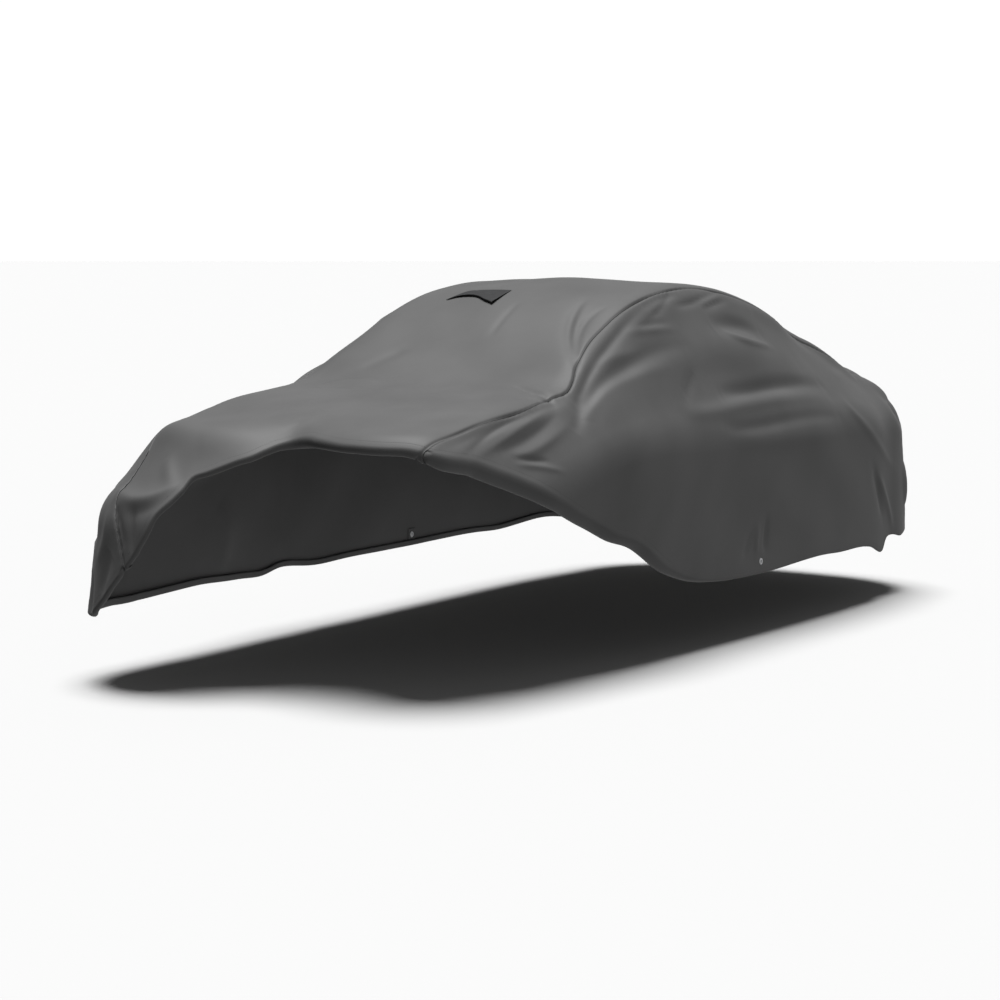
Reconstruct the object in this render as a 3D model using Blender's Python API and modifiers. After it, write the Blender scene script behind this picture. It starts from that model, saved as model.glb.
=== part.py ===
"""Fitted car cover, draped, with its front edge pulled back off the nose.

The cloth is laid out on a pattern: "across" is the distance along the cloth from the centre line, to the
left when positive, and "along" is the distance behind a station near the front. Past the two pivots the
pattern turns like a fan, so that the cloth wraps the nose and the tail. Heights are above the ground.
Metres.
"""

import bpy
import bmesh
import numpy as np
from mathutils import Matrix, Vector

CLOTH = 0.002
VENT_CLOTH = 0.0015
SEAM_GAP = 0.0005
LAY_GAP = 0.0006
NOSE_PIVOT = -0.30
TAIL_PIVOT = 3.10
FOOT_HEIGHT = 0.18
SOFT_EDGE = 0.085
SUPPORT_ALONG = 1.70
SUPPORT_HEIGHT = 1.520

# Half of the section at each station, from the centre line out and down to the ground.
SECTION_COLUMNS = ("along", "crown", "shoulder_out", "shoulder_up", "belt_out", "belt_up", "foot_out")
SECTIONS = np.array((
    (-0.30, 1.035, 0.665, 1.008, 0.850, 0.70, 0.865),
    (0.05, 1.085, 0.665, 1.064, 0.855, 0.76, 0.870),
    (0.35, 1.112, 0.665, 1.102, 0.865, 0.84, 0.880),
    (0.50, 1.137, 0.660, 1.138, 0.880, 0.88, 0.885),
    (0.65, 1.210, 0.635, 1.228, 0.902, 0.91, 0.890),
    (0.90, 1.372, 0.600, 1.340, 0.900, 0.92, 0.895),
    (1.15, 1.478, 0.575, 1.437, 0.893, 0.91, 0.900),
    (1.45, 1.530, 0.560, 1.498, 0.892, 0.90, 0.905),
    (1.85, 1.513, 0.555, 1.502, 0.905, 0.90, 0.920),
    (2.20, 1.450, 0.560, 1.443, 0.915, 0.90, 0.930),
    (2.55, 1.354, 0.575, 1.324, 0.915, 0.90, 0.930),
    (2.90, 1.239, 0.600, 1.186, 0.900, 0.88, 0.915),
    (3.10, 1.172, 0.610, 1.104, 0.872, 0.86, 0.890),
))

# The last section of each fan, straight ahead or straight behind: distances from the pivot.
END_COLUMNS = ("shoulder_out", "shoulder_up", "belt_out", "belt_up", "foot_out", "squareness")
NOSE = dict(zip(END_COLUMNS, (0.22, 0.905, 0.515, 0.675, 0.60, 3.2)))
TAIL = dict(zip(END_COLUMNS, (0.41, 0.992, 0.545, 0.850, 0.610, 2.7)))

# The hem, once round the cover. "roll" is the radius that its edge is turned under by, and "seam" is the
# place along the roof seam that the side panel's cloth comes down from.
HEM_COLUMNS = ("across", "along", "roll", "seam")
HEM_LEFT = np.array((
    (0.665, -0.500, 0.020, -0.500),
    (0.752, -0.462, 0.022, -0.455),
    (0.836, -0.352, 0.024, -0.352),
    (0.912, -0.165, 0.028, -0.165),
    (0.986, -0.015, 0.032, -0.015),
    (1.098, 0.180, 0.036, 0.180),
    (1.297, 0.451, 0.040, 0.450),
    (1.476, 0.640, 0.036, 0.640),
    (1.688, 0.912, 0.028, 0.912),
    (1.791, 1.109, 0.020, 1.109),
    (1.851, 1.326, 0.012, 1.326),
    (1.876, 1.530, 0.007, 1.530),
    (1.880, 1.747, 0.006, 1.747),
    (1.775, 2.398, 0.006, 2.398),
    (1.668, 2.820, 0.006, 2.820),
    (1.640, 2.970, 0.006, 2.970),
    (1.560, 3.040, 0.006, 3.040),
    (1.518, 3.368, 0.006, 3.300),
    (1.277, 3.837, 0.006, 3.690),
    (0.861, 4.126, 0.006, 4.060),
    (0.614, 4.218, 0.006, 4.218),
))
HEM_TAIL = np.array((
    (0.425, 4.267, 0.006, 0.0),
    (0.000, 4.310, 0.006, 0.0),
    (-0.425, 4.267, 0.006, 0.0),
))
HEM_RIGHT = np.array((
    (-0.614, 4.218, 0.006, 4.218),
    (-0.861, 4.126, 0.006, 4.060),
    (-1.277, 3.837, 0.006, 3.690),
    (-1.518, 3.368, 0.006, 3.300),
    (-1.566, 3.080, 0.006, 3.080),
    (-1.800, 2.350, 0.006, 2.350),
    (-1.880, 1.650, 0.006, 1.650),
    (-1.795, 1.000, 0.006, 1.000),
    (-1.550, 0.300, 0.008, 0.300),
    (-1.460, -0.300, 0.010, -0.300),
    (-1.432, -0.553, 0.011, -0.480),
    (-1.324, -0.782, 0.012, -0.640),
    (-1.052, -1.040, 0.012, -0.850),
    (-0.780, -1.055, 0.012, -0.980),
    (-0.665, -1.027, 0.012, -1.027),
))
HEM_NOSE = np.array((
    (-0.560, -0.990, 0.012, 0.0),
    (-0.470, -0.947, 0.012, 0.0),
    (-0.375, -0.860, 0.013, 0.0),
    (-0.320, -0.780, 0.014, 0.0),
    (-0.255, -0.710, 0.016, 0.0),
    (-0.130, -0.640, 0.018, 0.0),
    (-0.040, -0.575, 0.023, 0.0),
    (0.070, -0.545, 0.029, 0.0),
    (0.180, -0.538, 0.032, 0.0),
    (0.300, -0.555, 0.025, 0.0),
    (0.400, -0.562, 0.020, 0.0),
    (0.541, -0.546, 0.019, 0.0),
))

# Folds that the hanging cloth has set into: a bent path of three places on the pattern, how far it stands
# out of the cloth (a trough is negative), and its half width.
FOLD_COLUMNS = ("across_a", "along_a", "across_b", "along_b", "across_c", "along_c", "rise", "half_width")
FOLDS_LEFT = (
    (0.66, 0.66, 0.61, 1.00, 0.61, 1.45, -0.016, 0.045),   # trough that follows the roof seam
    (0.66, 0.68, 0.68, 0.84, 0.76, 1.06, 0.012, 0.040),    # swell at the foot of the front slope
    (0.68, 0.57, 0.70, 0.78, 0.80, 1.12, -0.014, 0.045),   # trough under that swell
    (0.80, 1.00, 0.81, 1.30, 0.82, 1.60, -0.012, 0.060),   # its tail along the upper side
    (0.84, 0.42, 0.77, 0.66, 0.88, 1.25, 0.020, 0.050),    # ridge over the side pocket
    (0.66, 0.98, 0.70, 1.18, 0.74, 1.40, 0.010, 0.030),    # pinch under the roof edge
    (0.56, 1.92, 0.64, 1.70, 0.64, 1.48, -0.010, 0.030),   # tuck at the roof edge
    (0.78, 1.60, 0.72, 1.85, 0.72, 2.10, -0.020, 0.065),   # hollow below the rear of the roof
    (0.79, 1.74, 0.85, 1.92, 0.83, 2.20, 0.010, 0.035),    # lip under the hollow
    (1.04, 1.50, 1.06, 1.92, 0.93, 2.45, -0.018, 0.055),   # long trough at the belt line
    (1.06, 1.02, 1.14, 1.62, 1.03, 2.45, 0.015, 0.060),    # broad ridge under it
    (1.22, 1.45, 1.24, 1.80, 1.15, 2.25, -0.011, 0.050),   # lower trough
    (1.26, 1.45, 1.27, 2.06, 1.09, 2.62, 0.009, 0.050),    # lower ridge
    (1.00, 2.70, 1.14, 2.90, 1.24, 3.32, 0.012, 0.050),    # ridge over the rear corner
    (1.27, 2.80, 1.42, 2.90, 1.56, 2.99, -0.014, 0.045),   # upright trough low at the rear
    (1.27, 2.96, 1.40, 3.08, 1.52, 3.20, 0.010, 0.040),    # upright ridge beside it
    (0.70, 0.05, 0.71, -0.15, 0.75, -0.36, -0.010, 0.035), # first trough below the front deck's seam
    (0.74, 0.17, 0.76, -0.06, 0.80, -0.24, 0.011, 0.035),  # first ridge
    (0.69, 0.36, 0.76, 0.16, 0.80, -0.16, -0.013, 0.035),  # second trough
    (0.73, 0.44, 0.81, 0.26, 0.83, -0.06, 0.012, 0.035),   # second ridge
)
FOLDS_TOP = (
    (0.60, 0.66, 0.43, 0.88, 0.35, 1.12, -0.006, 0.035),   # fan of creases up the front slope
    (-0.44, 0.39, -0.34, 0.44, -0.19, 0.42, 0.007, 0.035), # ridge at the foot of the slope
    (-0.44, 0.31, -0.32, 0.34, -0.17, 0.31, -0.008, 0.035),
    (-0.25, 0.70, -0.31, 0.63, -0.39, 0.56, -0.006, 0.040),
    (-0.49, -0.60, -0.44, -0.68, -0.38, -0.75, 0.008, 0.035),
    (0.30, 2.45, 0.05, 2.60, -0.25, 2.55, -0.006, 0.070),  # slack across the rear slope
    (0.40, 2.95, 0.00, 3.05, -0.40, 2.95, -0.008, 0.070),
    (0.30, 3.55, 0.22, 3.85, 0.16, 4.25, -0.012, 0.060),   # folds down the tail
    (0.05, 3.60, -0.02, 3.90, -0.06, 4.25, 0.012, 0.060),
    (-0.32, 3.55, -0.34, 3.85, -0.30, 4.20, -0.012, 0.060),
)
FOLDS_RIGHT = (
    (-0.80, -0.62, -0.64, -0.78, -0.50, -0.80, 0.012, 0.045),   # crease over the front corner
    (-0.57, -0.80, -0.59, -0.90, -0.64, -1.00, -0.012, 0.035),
    (-0.72, -0.92, -0.82, -0.98, -0.92, -1.03, -0.010, 0.035),
    (-1.00, -0.62, -1.12, -0.74, -1.22, -0.88, -0.012, 0.050),
    (-1.05, -0.30, -1.20, -0.40, -1.36, -0.50, 0.012, 0.060),
    (-0.86, 0.38, -0.78, 0.64, -0.90, 1.20, 0.018, 0.055),      # ridge over the side pocket
    (-0.68, 0.57, -0.70, 0.80, -0.82, 1.15, -0.013, 0.050),
    (-1.02, 1.30, -1.06, 1.80, -0.94, 2.35, -0.016, 0.060),     # trough at the belt line
    (-1.08, 0.95, -1.16, 1.55, -1.06, 2.30, 0.013, 0.065),
    (-0.78, 1.60, -0.74, 1.90, -0.74, 2.15, -0.015, 0.065),
    (-1.00, 2.70, -1.16, 2.92, -1.26, 3.30, 0.012, 0.055),
    (-1.24, 2.80, -1.40, 2.92, -1.52, 3.05, -0.012, 0.055),
    (-1.20, 0.20, -1.36, 0.26, -1.50, 0.20, -0.010, 0.060),
)
FOLDS = np.array(FOLDS_LEFT + FOLDS_TOP + FOLDS_RIGHT)
FOLD_STEPS = 16
FOLD_END_FADE = 0.6
PROBE = 0.004

# How many cells each panel has, and how strongly its stations bunch up towards the front.
STATION_CELLS = 62
STATION_CROWDING = 0.288
TOP_CELLS = 13
LEFT_CELLS = 14
RIGHT_CELLS = 8

# The shares of the length over which the top panel's columns take up the shape of the hem's two ends.
FRONT_SETTLE = 0.25
REAR_SETTLE = 0.2

# The turned-under edge: its angles, how far a side panel stops short of a corner, and the run over which
# two panels bring their edges together there.
ROLL_ANGLES = np.radians((45, 90, 135, 180))
TIP = 0.004
CORNER_BLEND = 0.06

# The vent: outline of its hood on the pattern and how far the free front edge stands off the roof.
VENT_COLUMNS = ("across", "front", "rear", "lift")
VENT = np.array((
    (-0.315, 1.098, 1.118, 0.003),
    (-0.285, 1.122, 1.196, 0.012),
    (-0.225, 1.130, 1.213, 0.017),
    (-0.165, 1.113, 1.207, 0.020),
    (-0.095, 1.065, 1.195, 0.024),
    (-0.035, 1.030, 1.182, 0.026),
))
VENT_CURL = 1.3
VENT_CELLS = (12, 4)
VENT_NET = 0.0008
NET_SPAN = (0.14, 0.97)
NET_DEPTH = (0.03, 0.62)

EYELET_ACROSS = 1.829
EYELET_ALONG = 1.686
EYELET_OUTER = 0.014
EYELET_BORE = 0.0065
EYELET_BARREL = 0.0085
EYELET_FLANGE = 0.0012
EYELET_STEPS = 24
CUTTER_DEPTH = 0.03
PATCH_SIDE = 0.056
PATCH_CELLS = 4


def column(rows, columns, name):
    return rows[:, columns.index(name)]


def smooth_between(places, values, at):
    """A smooth curve through the values, read at the given places."""
    step = np.diff(places)
    slope = np.diff(values) / step
    tangent = np.empty(len(places))
    tangent[0] = slope[0]
    tangent[-1] = slope[-1]
    tangent[1:-1] = (slope[:-1] * step[1:] + slope[1:] * step[:-1]) / (step[1:] + step[:-1])
    at = np.clip(at, places[0], places[-1])
    left = np.clip(np.searchsorted(places, at, side="right") - 1, 0, len(step) - 1)
    t = (at - places[left]) / step[left]
    bend = t * t * (3 - 2 * t)
    return (
        values[left] * (1 - bend)
        + values[left + 1] * bend
        + step[left] * t * (1 - t) * ((1 - t) * tangent[left] - t * tangent[left + 1])
    )


def section(name, along):
    places = column(SECTIONS, SECTION_COLUMNS, "along")
    return smooth_between(places, column(SECTIONS, SECTION_COLUMNS, name), along)


def rounded_reach(side, end, squareness, turn):
    """Distance from a pivot to a rounded corner between a side and an end, at an angle from the side."""
    inward = (np.cos(turn) / side) ** squareness + (np.sin(turn) / end) ** squareness
    return inward ** (-1 / squareness)


def softened(knots, lengths, starts, at):
    """The average of a bent line over SOFT_EDGE each side of a place, which rounds its corners."""

    def area(distance):
        total = np.zeros_like(distance)
        done = np.zeros_like(distance)
        for k, length in enumerate(lengths):
            last = k == len(lengths) - 1
            run = distance - starts[k]
            rise = (knots[k + 1] - knots[k]) / length
            inside = (run >= 0) & ((run < length) | last)
            total = np.where(inside, done + knots[k] * run + 0.5 * rise * run * run, total)
            done = done + 0.5 * (knots[k] + knots[k + 1]) * length
        return total

    return (area(at + SOFT_EDGE) - area(at - SOFT_EDGE)) / (2 * SOFT_EDGE)


def smooth_drape(across, along):
    """The cloth without its folds."""
    pivot = np.clip(along, NOSE_PIVOT, TAIL_PIVOT)
    past = along - pivot
    reach = np.hypot(across, past)
    turn = np.arctan2(np.abs(past), np.abs(across) + 1e-12)
    share = turn / (np.pi / 2)
    share = share * share * (3 - 2 * share)
    values = {name: section(name, pivot) for name in SECTION_COLUMNS[1:]}
    for end, beyond in ((NOSE, past < 0), (TAIL, past > 0)):
        for name in ("shoulder_out", "belt_out", "foot_out"):
            rounded = rounded_reach(values[name], end[name], end["squareness"], turn)
            values[name] = np.where(beyond, rounded, values[name])
        for name in ("shoulder_up", "belt_up"):
            lowered = values[name] + (end[name] - values[name]) * share
            values[name] = np.where(beyond, lowered, values[name])
    zero = np.zeros_like(reach)
    foot_up = zero + FOOT_HEIGHT
    out = [-values["shoulder_out"], zero, values["shoulder_out"], values["belt_out"], values["foot_out"]]
    up = [values["shoulder_up"], values["crown"], values["shoulder_up"], values["belt_up"], foot_up]
    lengths = [np.hypot(out[k + 1] - out[k], up[k + 1] - up[k]) for k in range(4)]
    starts = [-lengths[0], zero, lengths[1], lengths[1] + lengths[2]]
    distance_out = softened(out, lengths, starts, reach)
    height = softened(up, lengths, starts, reach)
    safe = np.maximum(reach, 1e-9)
    return np.stack((across / safe * distance_out, pivot + past / safe * distance_out, height), axis=-1)


def fold_rise(across, along):
    """How far the folds lift the cloth at each place on the pattern."""
    place = np.stack((across, along), axis=-1)
    rise = np.zeros(across.shape)
    steps = np.linspace(0, 1, FOLD_STEPS + 1)
    for row in FOLDS:
        fold = dict(zip(FOLD_COLUMNS, row))
        a = np.array((fold["across_a"], fold["along_a"]))
        b = np.array((fold["across_b"], fold["along_b"]))
        c = np.array((fold["across_c"], fold["along_c"]))
        control = 2 * b - 0.5 * (a + c)
        nearest = np.full(across.shape, np.inf)
        where = np.zeros(across.shape)
        path = [(1 - t) ** 2 * a + 2 * t * (1 - t) * control + t * t * c for t in steps]
        for k in range(FOLD_STEPS):
            span = path[k + 1] - path[k]
            share = np.clip(((place - path[k]) @ span) / (span @ span), 0, 1)
            gap = np.linalg.norm(place - path[k] - share[..., None] * span, axis=-1)
            closer = gap < nearest
            nearest = np.where(closer, gap, nearest)
            where = np.where(closer, (k + share) / FOLD_STEPS, where)
        fade = np.sin(np.pi * np.clip(where, 0.02, 0.98)) ** FOLD_END_FADE
        rise += fold["rise"] * fade * np.exp(-((nearest / fold["half_width"]) ** 2))
    return rise


def normals_of(surface, across, along, step=PROBE):
    by_across = surface(across + step, along) - surface(across - step, along)
    by_along = surface(across, along + step) - surface(across, along - step)
    outward = np.cross(by_across, by_along)
    return outward / np.linalg.norm(outward, axis=-1, keepdims=True)


def drape(across, along):
    """The outer face of the cloth at each place on the pattern, with its folds."""
    return smooth_drape(across, along) + (
        fold_rise(across, along)[..., None] * normals_of(smooth_drape, across, along)
    )


def hem_loop():
    """The hem's rows once round, closed, and the distance round it at each row."""
    rows = np.concatenate((HEM_LEFT, HEM_TAIL, HEM_RIGHT, HEM_NOSE, HEM_LEFT[:1]))
    strides = np.linalg.norm(np.diff(rows[:, :2], axis=0), axis=1)
    return rows, np.concatenate(([0.0], np.cumsum(strides)))


HEM_ROWS, HEM_ROUND = hem_loop()
LEFT_FRONT = 0.0
LEFT_REAR = HEM_ROUND[len(HEM_LEFT) - 1]
RIGHT_REAR = HEM_ROUND[len(HEM_LEFT) + len(HEM_TAIL)]
RIGHT_FRONT = HEM_ROUND[len(HEM_LEFT) + len(HEM_TAIL) + len(HEM_RIGHT) - 1]
FULL_ROUND = HEM_ROUND[-1]


def hem_at(distance):
    """Across, along and roll of the hem, read round a loop that has no ends."""
    count = len(HEM_ROWS) - 1
    rows = np.concatenate((HEM_ROWS[count - 3:count], HEM_ROWS, HEM_ROWS[1:4]))
    before = HEM_ROUND[count - 3:count] - FULL_ROUND
    after = HEM_ROUND[1:4] + FULL_ROUND
    places = np.concatenate((before, HEM_ROUND, after))
    return [smooth_between(places, rows[:, k], distance) for k in range(3)]


def hem_edge(distance, step=0.01):
    """Where the turned-under edge starts, the way off the cloth on the pattern, and the roll.

    At the four corners where a seam meets the hem, both panels turn their edge along the seam.
    """
    across, along, roll = hem_at(distance)
    ahead = hem_at(distance + step)
    behind = hem_at(distance - step)
    run = np.stack((ahead[0] - behind[0], ahead[1] - behind[1]), axis=-1)
    run = run / np.linalg.norm(run, axis=-1, keepdims=True)
    off = np.stack((run[..., 1], -run[..., 0]), axis=-1)
    front_corners = [(corner, -1) for corner in (LEFT_FRONT, FULL_ROUND, RIGHT_FRONT)]
    rear_corners = [(corner, 1) for corner in (LEFT_REAR, RIGHT_REAR)]
    for corner, way in front_corners + rear_corners:
        pull = np.exp(-(((distance - corner) / CORNER_BLEND) ** 2))[..., None]
        off = off * (1 - pull) + np.array((0.0, way)) * pull
    off = off / np.linalg.norm(off, axis=-1, keepdims=True)
    return across - off[..., 0] * roll, along - off[..., 1] * roll, off, roll


def seam_across(along):
    pivot = np.clip(along, NOSE_PIVOT, TAIL_PIVOT)
    drop = section("crown", pivot) - section("shoulder_up", pivot)
    return np.hypot(section("shoulder_out", pivot), drop)


def stations(cells):
    """Shares of the cover's length, closer together over the front deck and the slope behind it."""
    even = np.linspace(0, 1, cells + 1)
    return even - STATION_CROWDING * np.sin(np.pi * even) * even * (1 - even)


def top_pattern(v, share):
    """Places for the top panel: v from -1 at the right seam to 1 at the left, share from front to rear."""
    front_round = RIGHT_FRONT + (v + 1) / 2 * (FULL_ROUND - RIGHT_FRONT)
    rear_round = RIGHT_REAR + (v + 1) / 2 * (LEFT_REAR - RIGHT_REAR)
    front_across, front_along, _, _ = hem_edge(front_round)
    rear_across, rear_along, _, _ = hem_edge(rear_round)
    along = front_along + (rear_along - front_along) * share
    settled_front = v * seam_across(front_along)
    settled_rear = v * seam_across(rear_along)
    near_front = np.clip(1 - share / FRONT_SETTLE, 0, 1) ** 2
    near_rear = np.clip(1 - (1 - share) / REAR_SETTLE, 0, 1) ** 2
    across = v * seam_across(along)
    across = across + (front_across - settled_front) * near_front
    across = across + (rear_across - settled_rear) * near_rear
    return across, along


def side_pattern(side, u, share):
    """Places for a side panel: u from 0 at the roof seam to 1 at the hem, share from front to rear."""
    table = HEM_LEFT if side > 0 else HEM_RIGHT[::-1]
    start, end = (LEFT_FRONT, LEFT_REAR) if side > 0 else (RIGHT_FRONT, RIGHT_REAR)
    rows_round = HEM_ROUND[:len(HEM_LEFT)]
    if side < 0:
        first = len(HEM_LEFT) + len(HEM_TAIL)
        rows_round = HEM_ROUND[first:first + len(HEM_RIGHT)][::-1]
    seam_v = np.full_like(share, float(side))
    top_across, top_along = top_pattern(seam_v, share)
    forward = np.sign(end - start)
    seam_places = column(table, HEM_COLUMNS, "seam").copy()
    seam_places[0] = top_along[0, 0]
    seam_places[-1] = top_along[0, -1]
    distance = np.interp(top_along, seam_places, rows_round)
    low, high = sorted((start + forward * TIP, end - forward * TIP))
    distance = np.clip(distance, low, high)
    hem_across, hem_along, _, _ = hem_edge(distance)
    across = top_across + (hem_across - top_across) * u
    along = top_along + (hem_along - top_along) * u
    return across, along, distance


def rolled(across, along, off, roll, angles):
    """Points and normals of the edge as it turns under, one row for each angle."""
    start = drape(across, along)
    outward = normals_of(drape, across, along)
    ahead = drape(across + off[..., 0] * PROBE, along + off[..., 1] * PROBE)
    leaving = ahead - start
    leaving = leaving - np.sum(leaving * outward, axis=-1, keepdims=True) * outward
    leaving = leaving / np.linalg.norm(leaving, axis=-1, keepdims=True)
    points = [start + roll[..., None] * (np.sin(a) * leaving - (1 - np.cos(a)) * outward) for a in angles]
    turned = [np.cos(a) * outward + np.sin(a) * leaving for a in angles]
    return points, turned


def closed_sheet(name, outer, outward, thickness, material, collection):
    """A closed sheet from a grid of points on its outer face and the cloth's normals there."""
    rows, cols = outer.shape[:2]
    inner = outer - thickness * outward
    mesh_build = bmesh.new()
    grids = []
    for points in (outer, inner):
        grids.append([[mesh_build.verts.new(points[r, c]) for c in range(cols)] for r in range(rows)])
    top, under = grids
    for r in range(rows - 1):
        for c in range(cols - 1):
            mesh_build.faces.new((top[r][c], top[r + 1][c], top[r + 1][c + 1], top[r][c + 1]))
            mesh_build.faces.new((under[r][c], under[r][c + 1], under[r + 1][c + 1], under[r + 1][c]))
    for r in range(rows - 1):
        mesh_build.faces.new((top[r + 1][0], top[r][0], under[r][0], under[r + 1][0]))
        mesh_build.faces.new((top[r][-1], top[r + 1][-1], under[r + 1][-1], under[r][-1]))
    for c in range(cols - 1):
        mesh_build.faces.new((top[0][c], top[0][c + 1], under[0][c + 1], under[0][c]))
        mesh_build.faces.new((top[-1][c + 1], top[-1][c], under[-1][c], under[-1][c + 1]))
    mesh = bpy.data.meshes.new(name)
    mesh_build.to_mesh(mesh)
    mesh_build.free()
    mesh.shade_smooth()
    mesh.set_sharp_from_angle(angle=np.radians(50))
    mesh.materials.append(material)
    sheet = bpy.data.objects.new(name, mesh)
    collection.objects.link(sheet)
    return sheet


def finish_material(name, colour, roughness, metallic=0.0):
    material = bpy.data.materials.new(name)
    material.use_nodes = True
    shader = material.node_tree.nodes["Principled BSDF"]
    shader.inputs["Base Color"].default_value = (*colour, 1.0)
    shader.inputs["Roughness"].default_value = roughness
    shader.inputs["Metallic"].default_value = metallic
    return material


def make_top_panel(material, collection):
    share = stations(STATION_CELLS)
    v, along_share = np.meshgrid(np.linspace(-1, 1, TOP_CELLS + 1), share, indexing="ij")
    across, along = top_pattern(v, along_share)
    across[0] += SEAM_GAP / 2
    across[-1] -= SEAM_GAP / 2
    body = drape(across, along)
    outward = normals_of(drape, across, along)
    points = [body]
    turned = [outward]
    for end, front, rear in ((0, RIGHT_FRONT, FULL_ROUND), (-1, RIGHT_REAR, LEFT_REAR)):
        edge_round = front + (v[:, end] + 1) / 2 * (rear - front)
        _, _, off, roll = hem_edge(edge_round)
        rows, ways = rolled(across[:, end], along[:, end], off, roll, ROLL_ANGLES)
        if end == 0:
            points.insert(0, np.stack(rows[::-1], axis=1))
            turned.insert(0, np.stack(ways[::-1], axis=1))
        else:
            points.append(np.stack(rows, axis=1))
            turned.append(np.stack(ways, axis=1))
    outer = np.concatenate(points, axis=1)
    return closed_sheet("top_panel", outer, np.concatenate(turned, axis=1), CLOTH, material, collection)


def make_side_panel(name, side, cells, material, collection):
    share = stations(STATION_CELLS)
    u, along_share = np.meshgrid(np.linspace(0, 1, cells + 1), share, indexing="ij")
    across, along, distance = side_pattern(side, u, along_share)
    across[0] += side * SEAM_GAP / 2
    body = drape(across, along)
    outward = normals_of(drape, across, along)
    _, _, off, roll = hem_edge(distance[-1])
    rows, ways = rolled(across[-1], along[-1], off, roll, ROLL_ANGLES)
    outer = np.concatenate((body, np.stack(rows)))
    outward = np.concatenate((outward, np.stack(ways)))
    if side < 0:
        outer = outer[::-1]
        outward = outward[::-1]
    return closed_sheet(name, outer, outward, CLOTH, material, collection)


def vent_place(u, v):
    """Pattern place and lift of the vent hood: u from its tip to its wide end, v from front to rear."""
    rows = [column(VENT, VENT_COLUMNS, name) for name in VENT_COLUMNS]
    spread = (rows[0] - rows[0][0]) / (rows[0][-1] - rows[0][0])
    across, front, rear, lift = [smooth_between(spread, row, u) for row in rows]
    return across, front + (rear - front) * v, lift * (1 - v) ** VENT_CURL


def make_vent_piece(name, u_range, v_range, lifted, thickness, material, collection):
    u, v = np.meshgrid(
        np.linspace(*u_range, VENT_CELLS[0] + 1), np.linspace(*v_range, VENT_CELLS[1] + 1), indexing="ij"
    )
    across, along, lift = vent_place(u, v)
    outward = normals_of(drape, across, along)
    height = LAY_GAP + thickness + (lift if lifted else 0 * lift)
    outer = drape(across, along) + height[..., None] * outward
    return closed_sheet(name, outer, outward, thickness, material, collection)


def eyelet_frame(side):
    """Where an eyelet sits on the cloth's outer face, turned so that its axis is the cloth's normal."""
    across = np.array(side * EYELET_ACROSS)
    along = np.array(EYELET_ALONG)
    point = Vector(drape(across, along))
    outward = Vector(normals_of(drape, across, along, EYELET_OUTER))
    turn = outward.to_track_quat("Z", "Y").to_matrix().to_4x4()
    return Matrix.Translation(point) @ turn


def make_eyelet(name, side, material, collection):
    top = LAY_GAP + EYELET_FLANGE
    bottom = -2 * CLOTH - 2 * LAY_GAP - EYELET_FLANGE
    barrel = EYELET_BARREL - LAY_GAP
    profile = (
        (EYELET_BORE, top),
        (EYELET_OUTER, top),
        (EYELET_OUTER, top - EYELET_FLANGE),
        (barrel, top - EYELET_FLANGE),
        (barrel, bottom + EYELET_FLANGE),
        (EYELET_OUTER, bottom + EYELET_FLANGE),
        (EYELET_OUTER, bottom),
        (EYELET_BORE, bottom),
    )
    mesh = bpy.data.meshes.new(name)
    corners = [(radius, 0.0, height) for radius, height in profile]
    mesh.from_pydata(corners, [(k, (k + 1) % len(corners)) for k in range(len(corners))], [])
    mesh.materials.append(material)
    ring = bpy.data.objects.new(name, mesh)
    collection.objects.link(ring)
    ring.matrix_world = eyelet_frame(side)
    turn = ring.modifiers.new("turn", "SCREW")
    turn.axis = "Z"
    turn.steps = EYELET_STEPS
    turn.render_steps = EYELET_STEPS
    turn.use_merge_vertices = True
    turn.merge_threshold = 0.00001
    return ring


def make_patch(name, side, material, collection):
    spread = np.linspace(-PATCH_SIDE / 2, PATCH_SIDE / 2, PATCH_CELLS + 1)
    across, along = np.meshgrid(side * EYELET_ACROSS + spread, EYELET_ALONG + spread, indexing="ij")
    outward = normals_of(drape, across, along)
    outer = drape(across, along) - (CLOTH + LAY_GAP) * outward
    return closed_sheet(name, outer, outward, CLOTH, material, collection)


def cut_bore(sheets, side, cutters):
    """A round hole for the eyelet's barrel through each sheet."""
    name = "eyelet_bore_left" if side > 0 else "eyelet_bore_right"
    mesh_build = bmesh.new()
    bmesh.ops.create_cone(
        mesh_build,
        cap_ends=True,
        segments=EYELET_STEPS,
        radius1=EYELET_BARREL,
        radius2=EYELET_BARREL,
        depth=CUTTER_DEPTH,
    )
    mesh = bpy.data.meshes.new(name)
    mesh_build.to_mesh(mesh)
    mesh_build.free()
    cutter = bpy.data.objects.new(name, mesh)
    cutters.objects.link(cutter)
    cutter.matrix_world = eyelet_frame(side)
    cutter.hide_render = True
    cutter.display_type = "WIRE"
    for sheet in sheets:
        bore = sheet.modifiers.new("eyelet bore", "BOOLEAN")
        bore.operation = "DIFFERENCE"
        bore.object = cutter


for old in list(bpy.data.objects):
    bpy.data.objects.remove(old, do_unlink=True)

cover = bpy.data.collections.new("car_cover")
bores = bpy.data.collections.new("car_cover_cutters")
bpy.context.scene.collection.children.link(cover)
bpy.context.scene.collection.children.link(bores)
bores.hide_render = True

cover_cloth = finish_material("grey non-woven polypropylene", (0.125, 0.125, 0.130), 0.62)
vent_cloth = finish_material("dark grey vent cloth", (0.045, 0.045, 0.048), 0.70)
vent_net = finish_material("black polyester mesh", (0.012, 0.012, 0.013), 0.85)
eyelet_plastic = finish_material("pale grey nylon", (0.55, 0.56, 0.57), 0.40)

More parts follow.
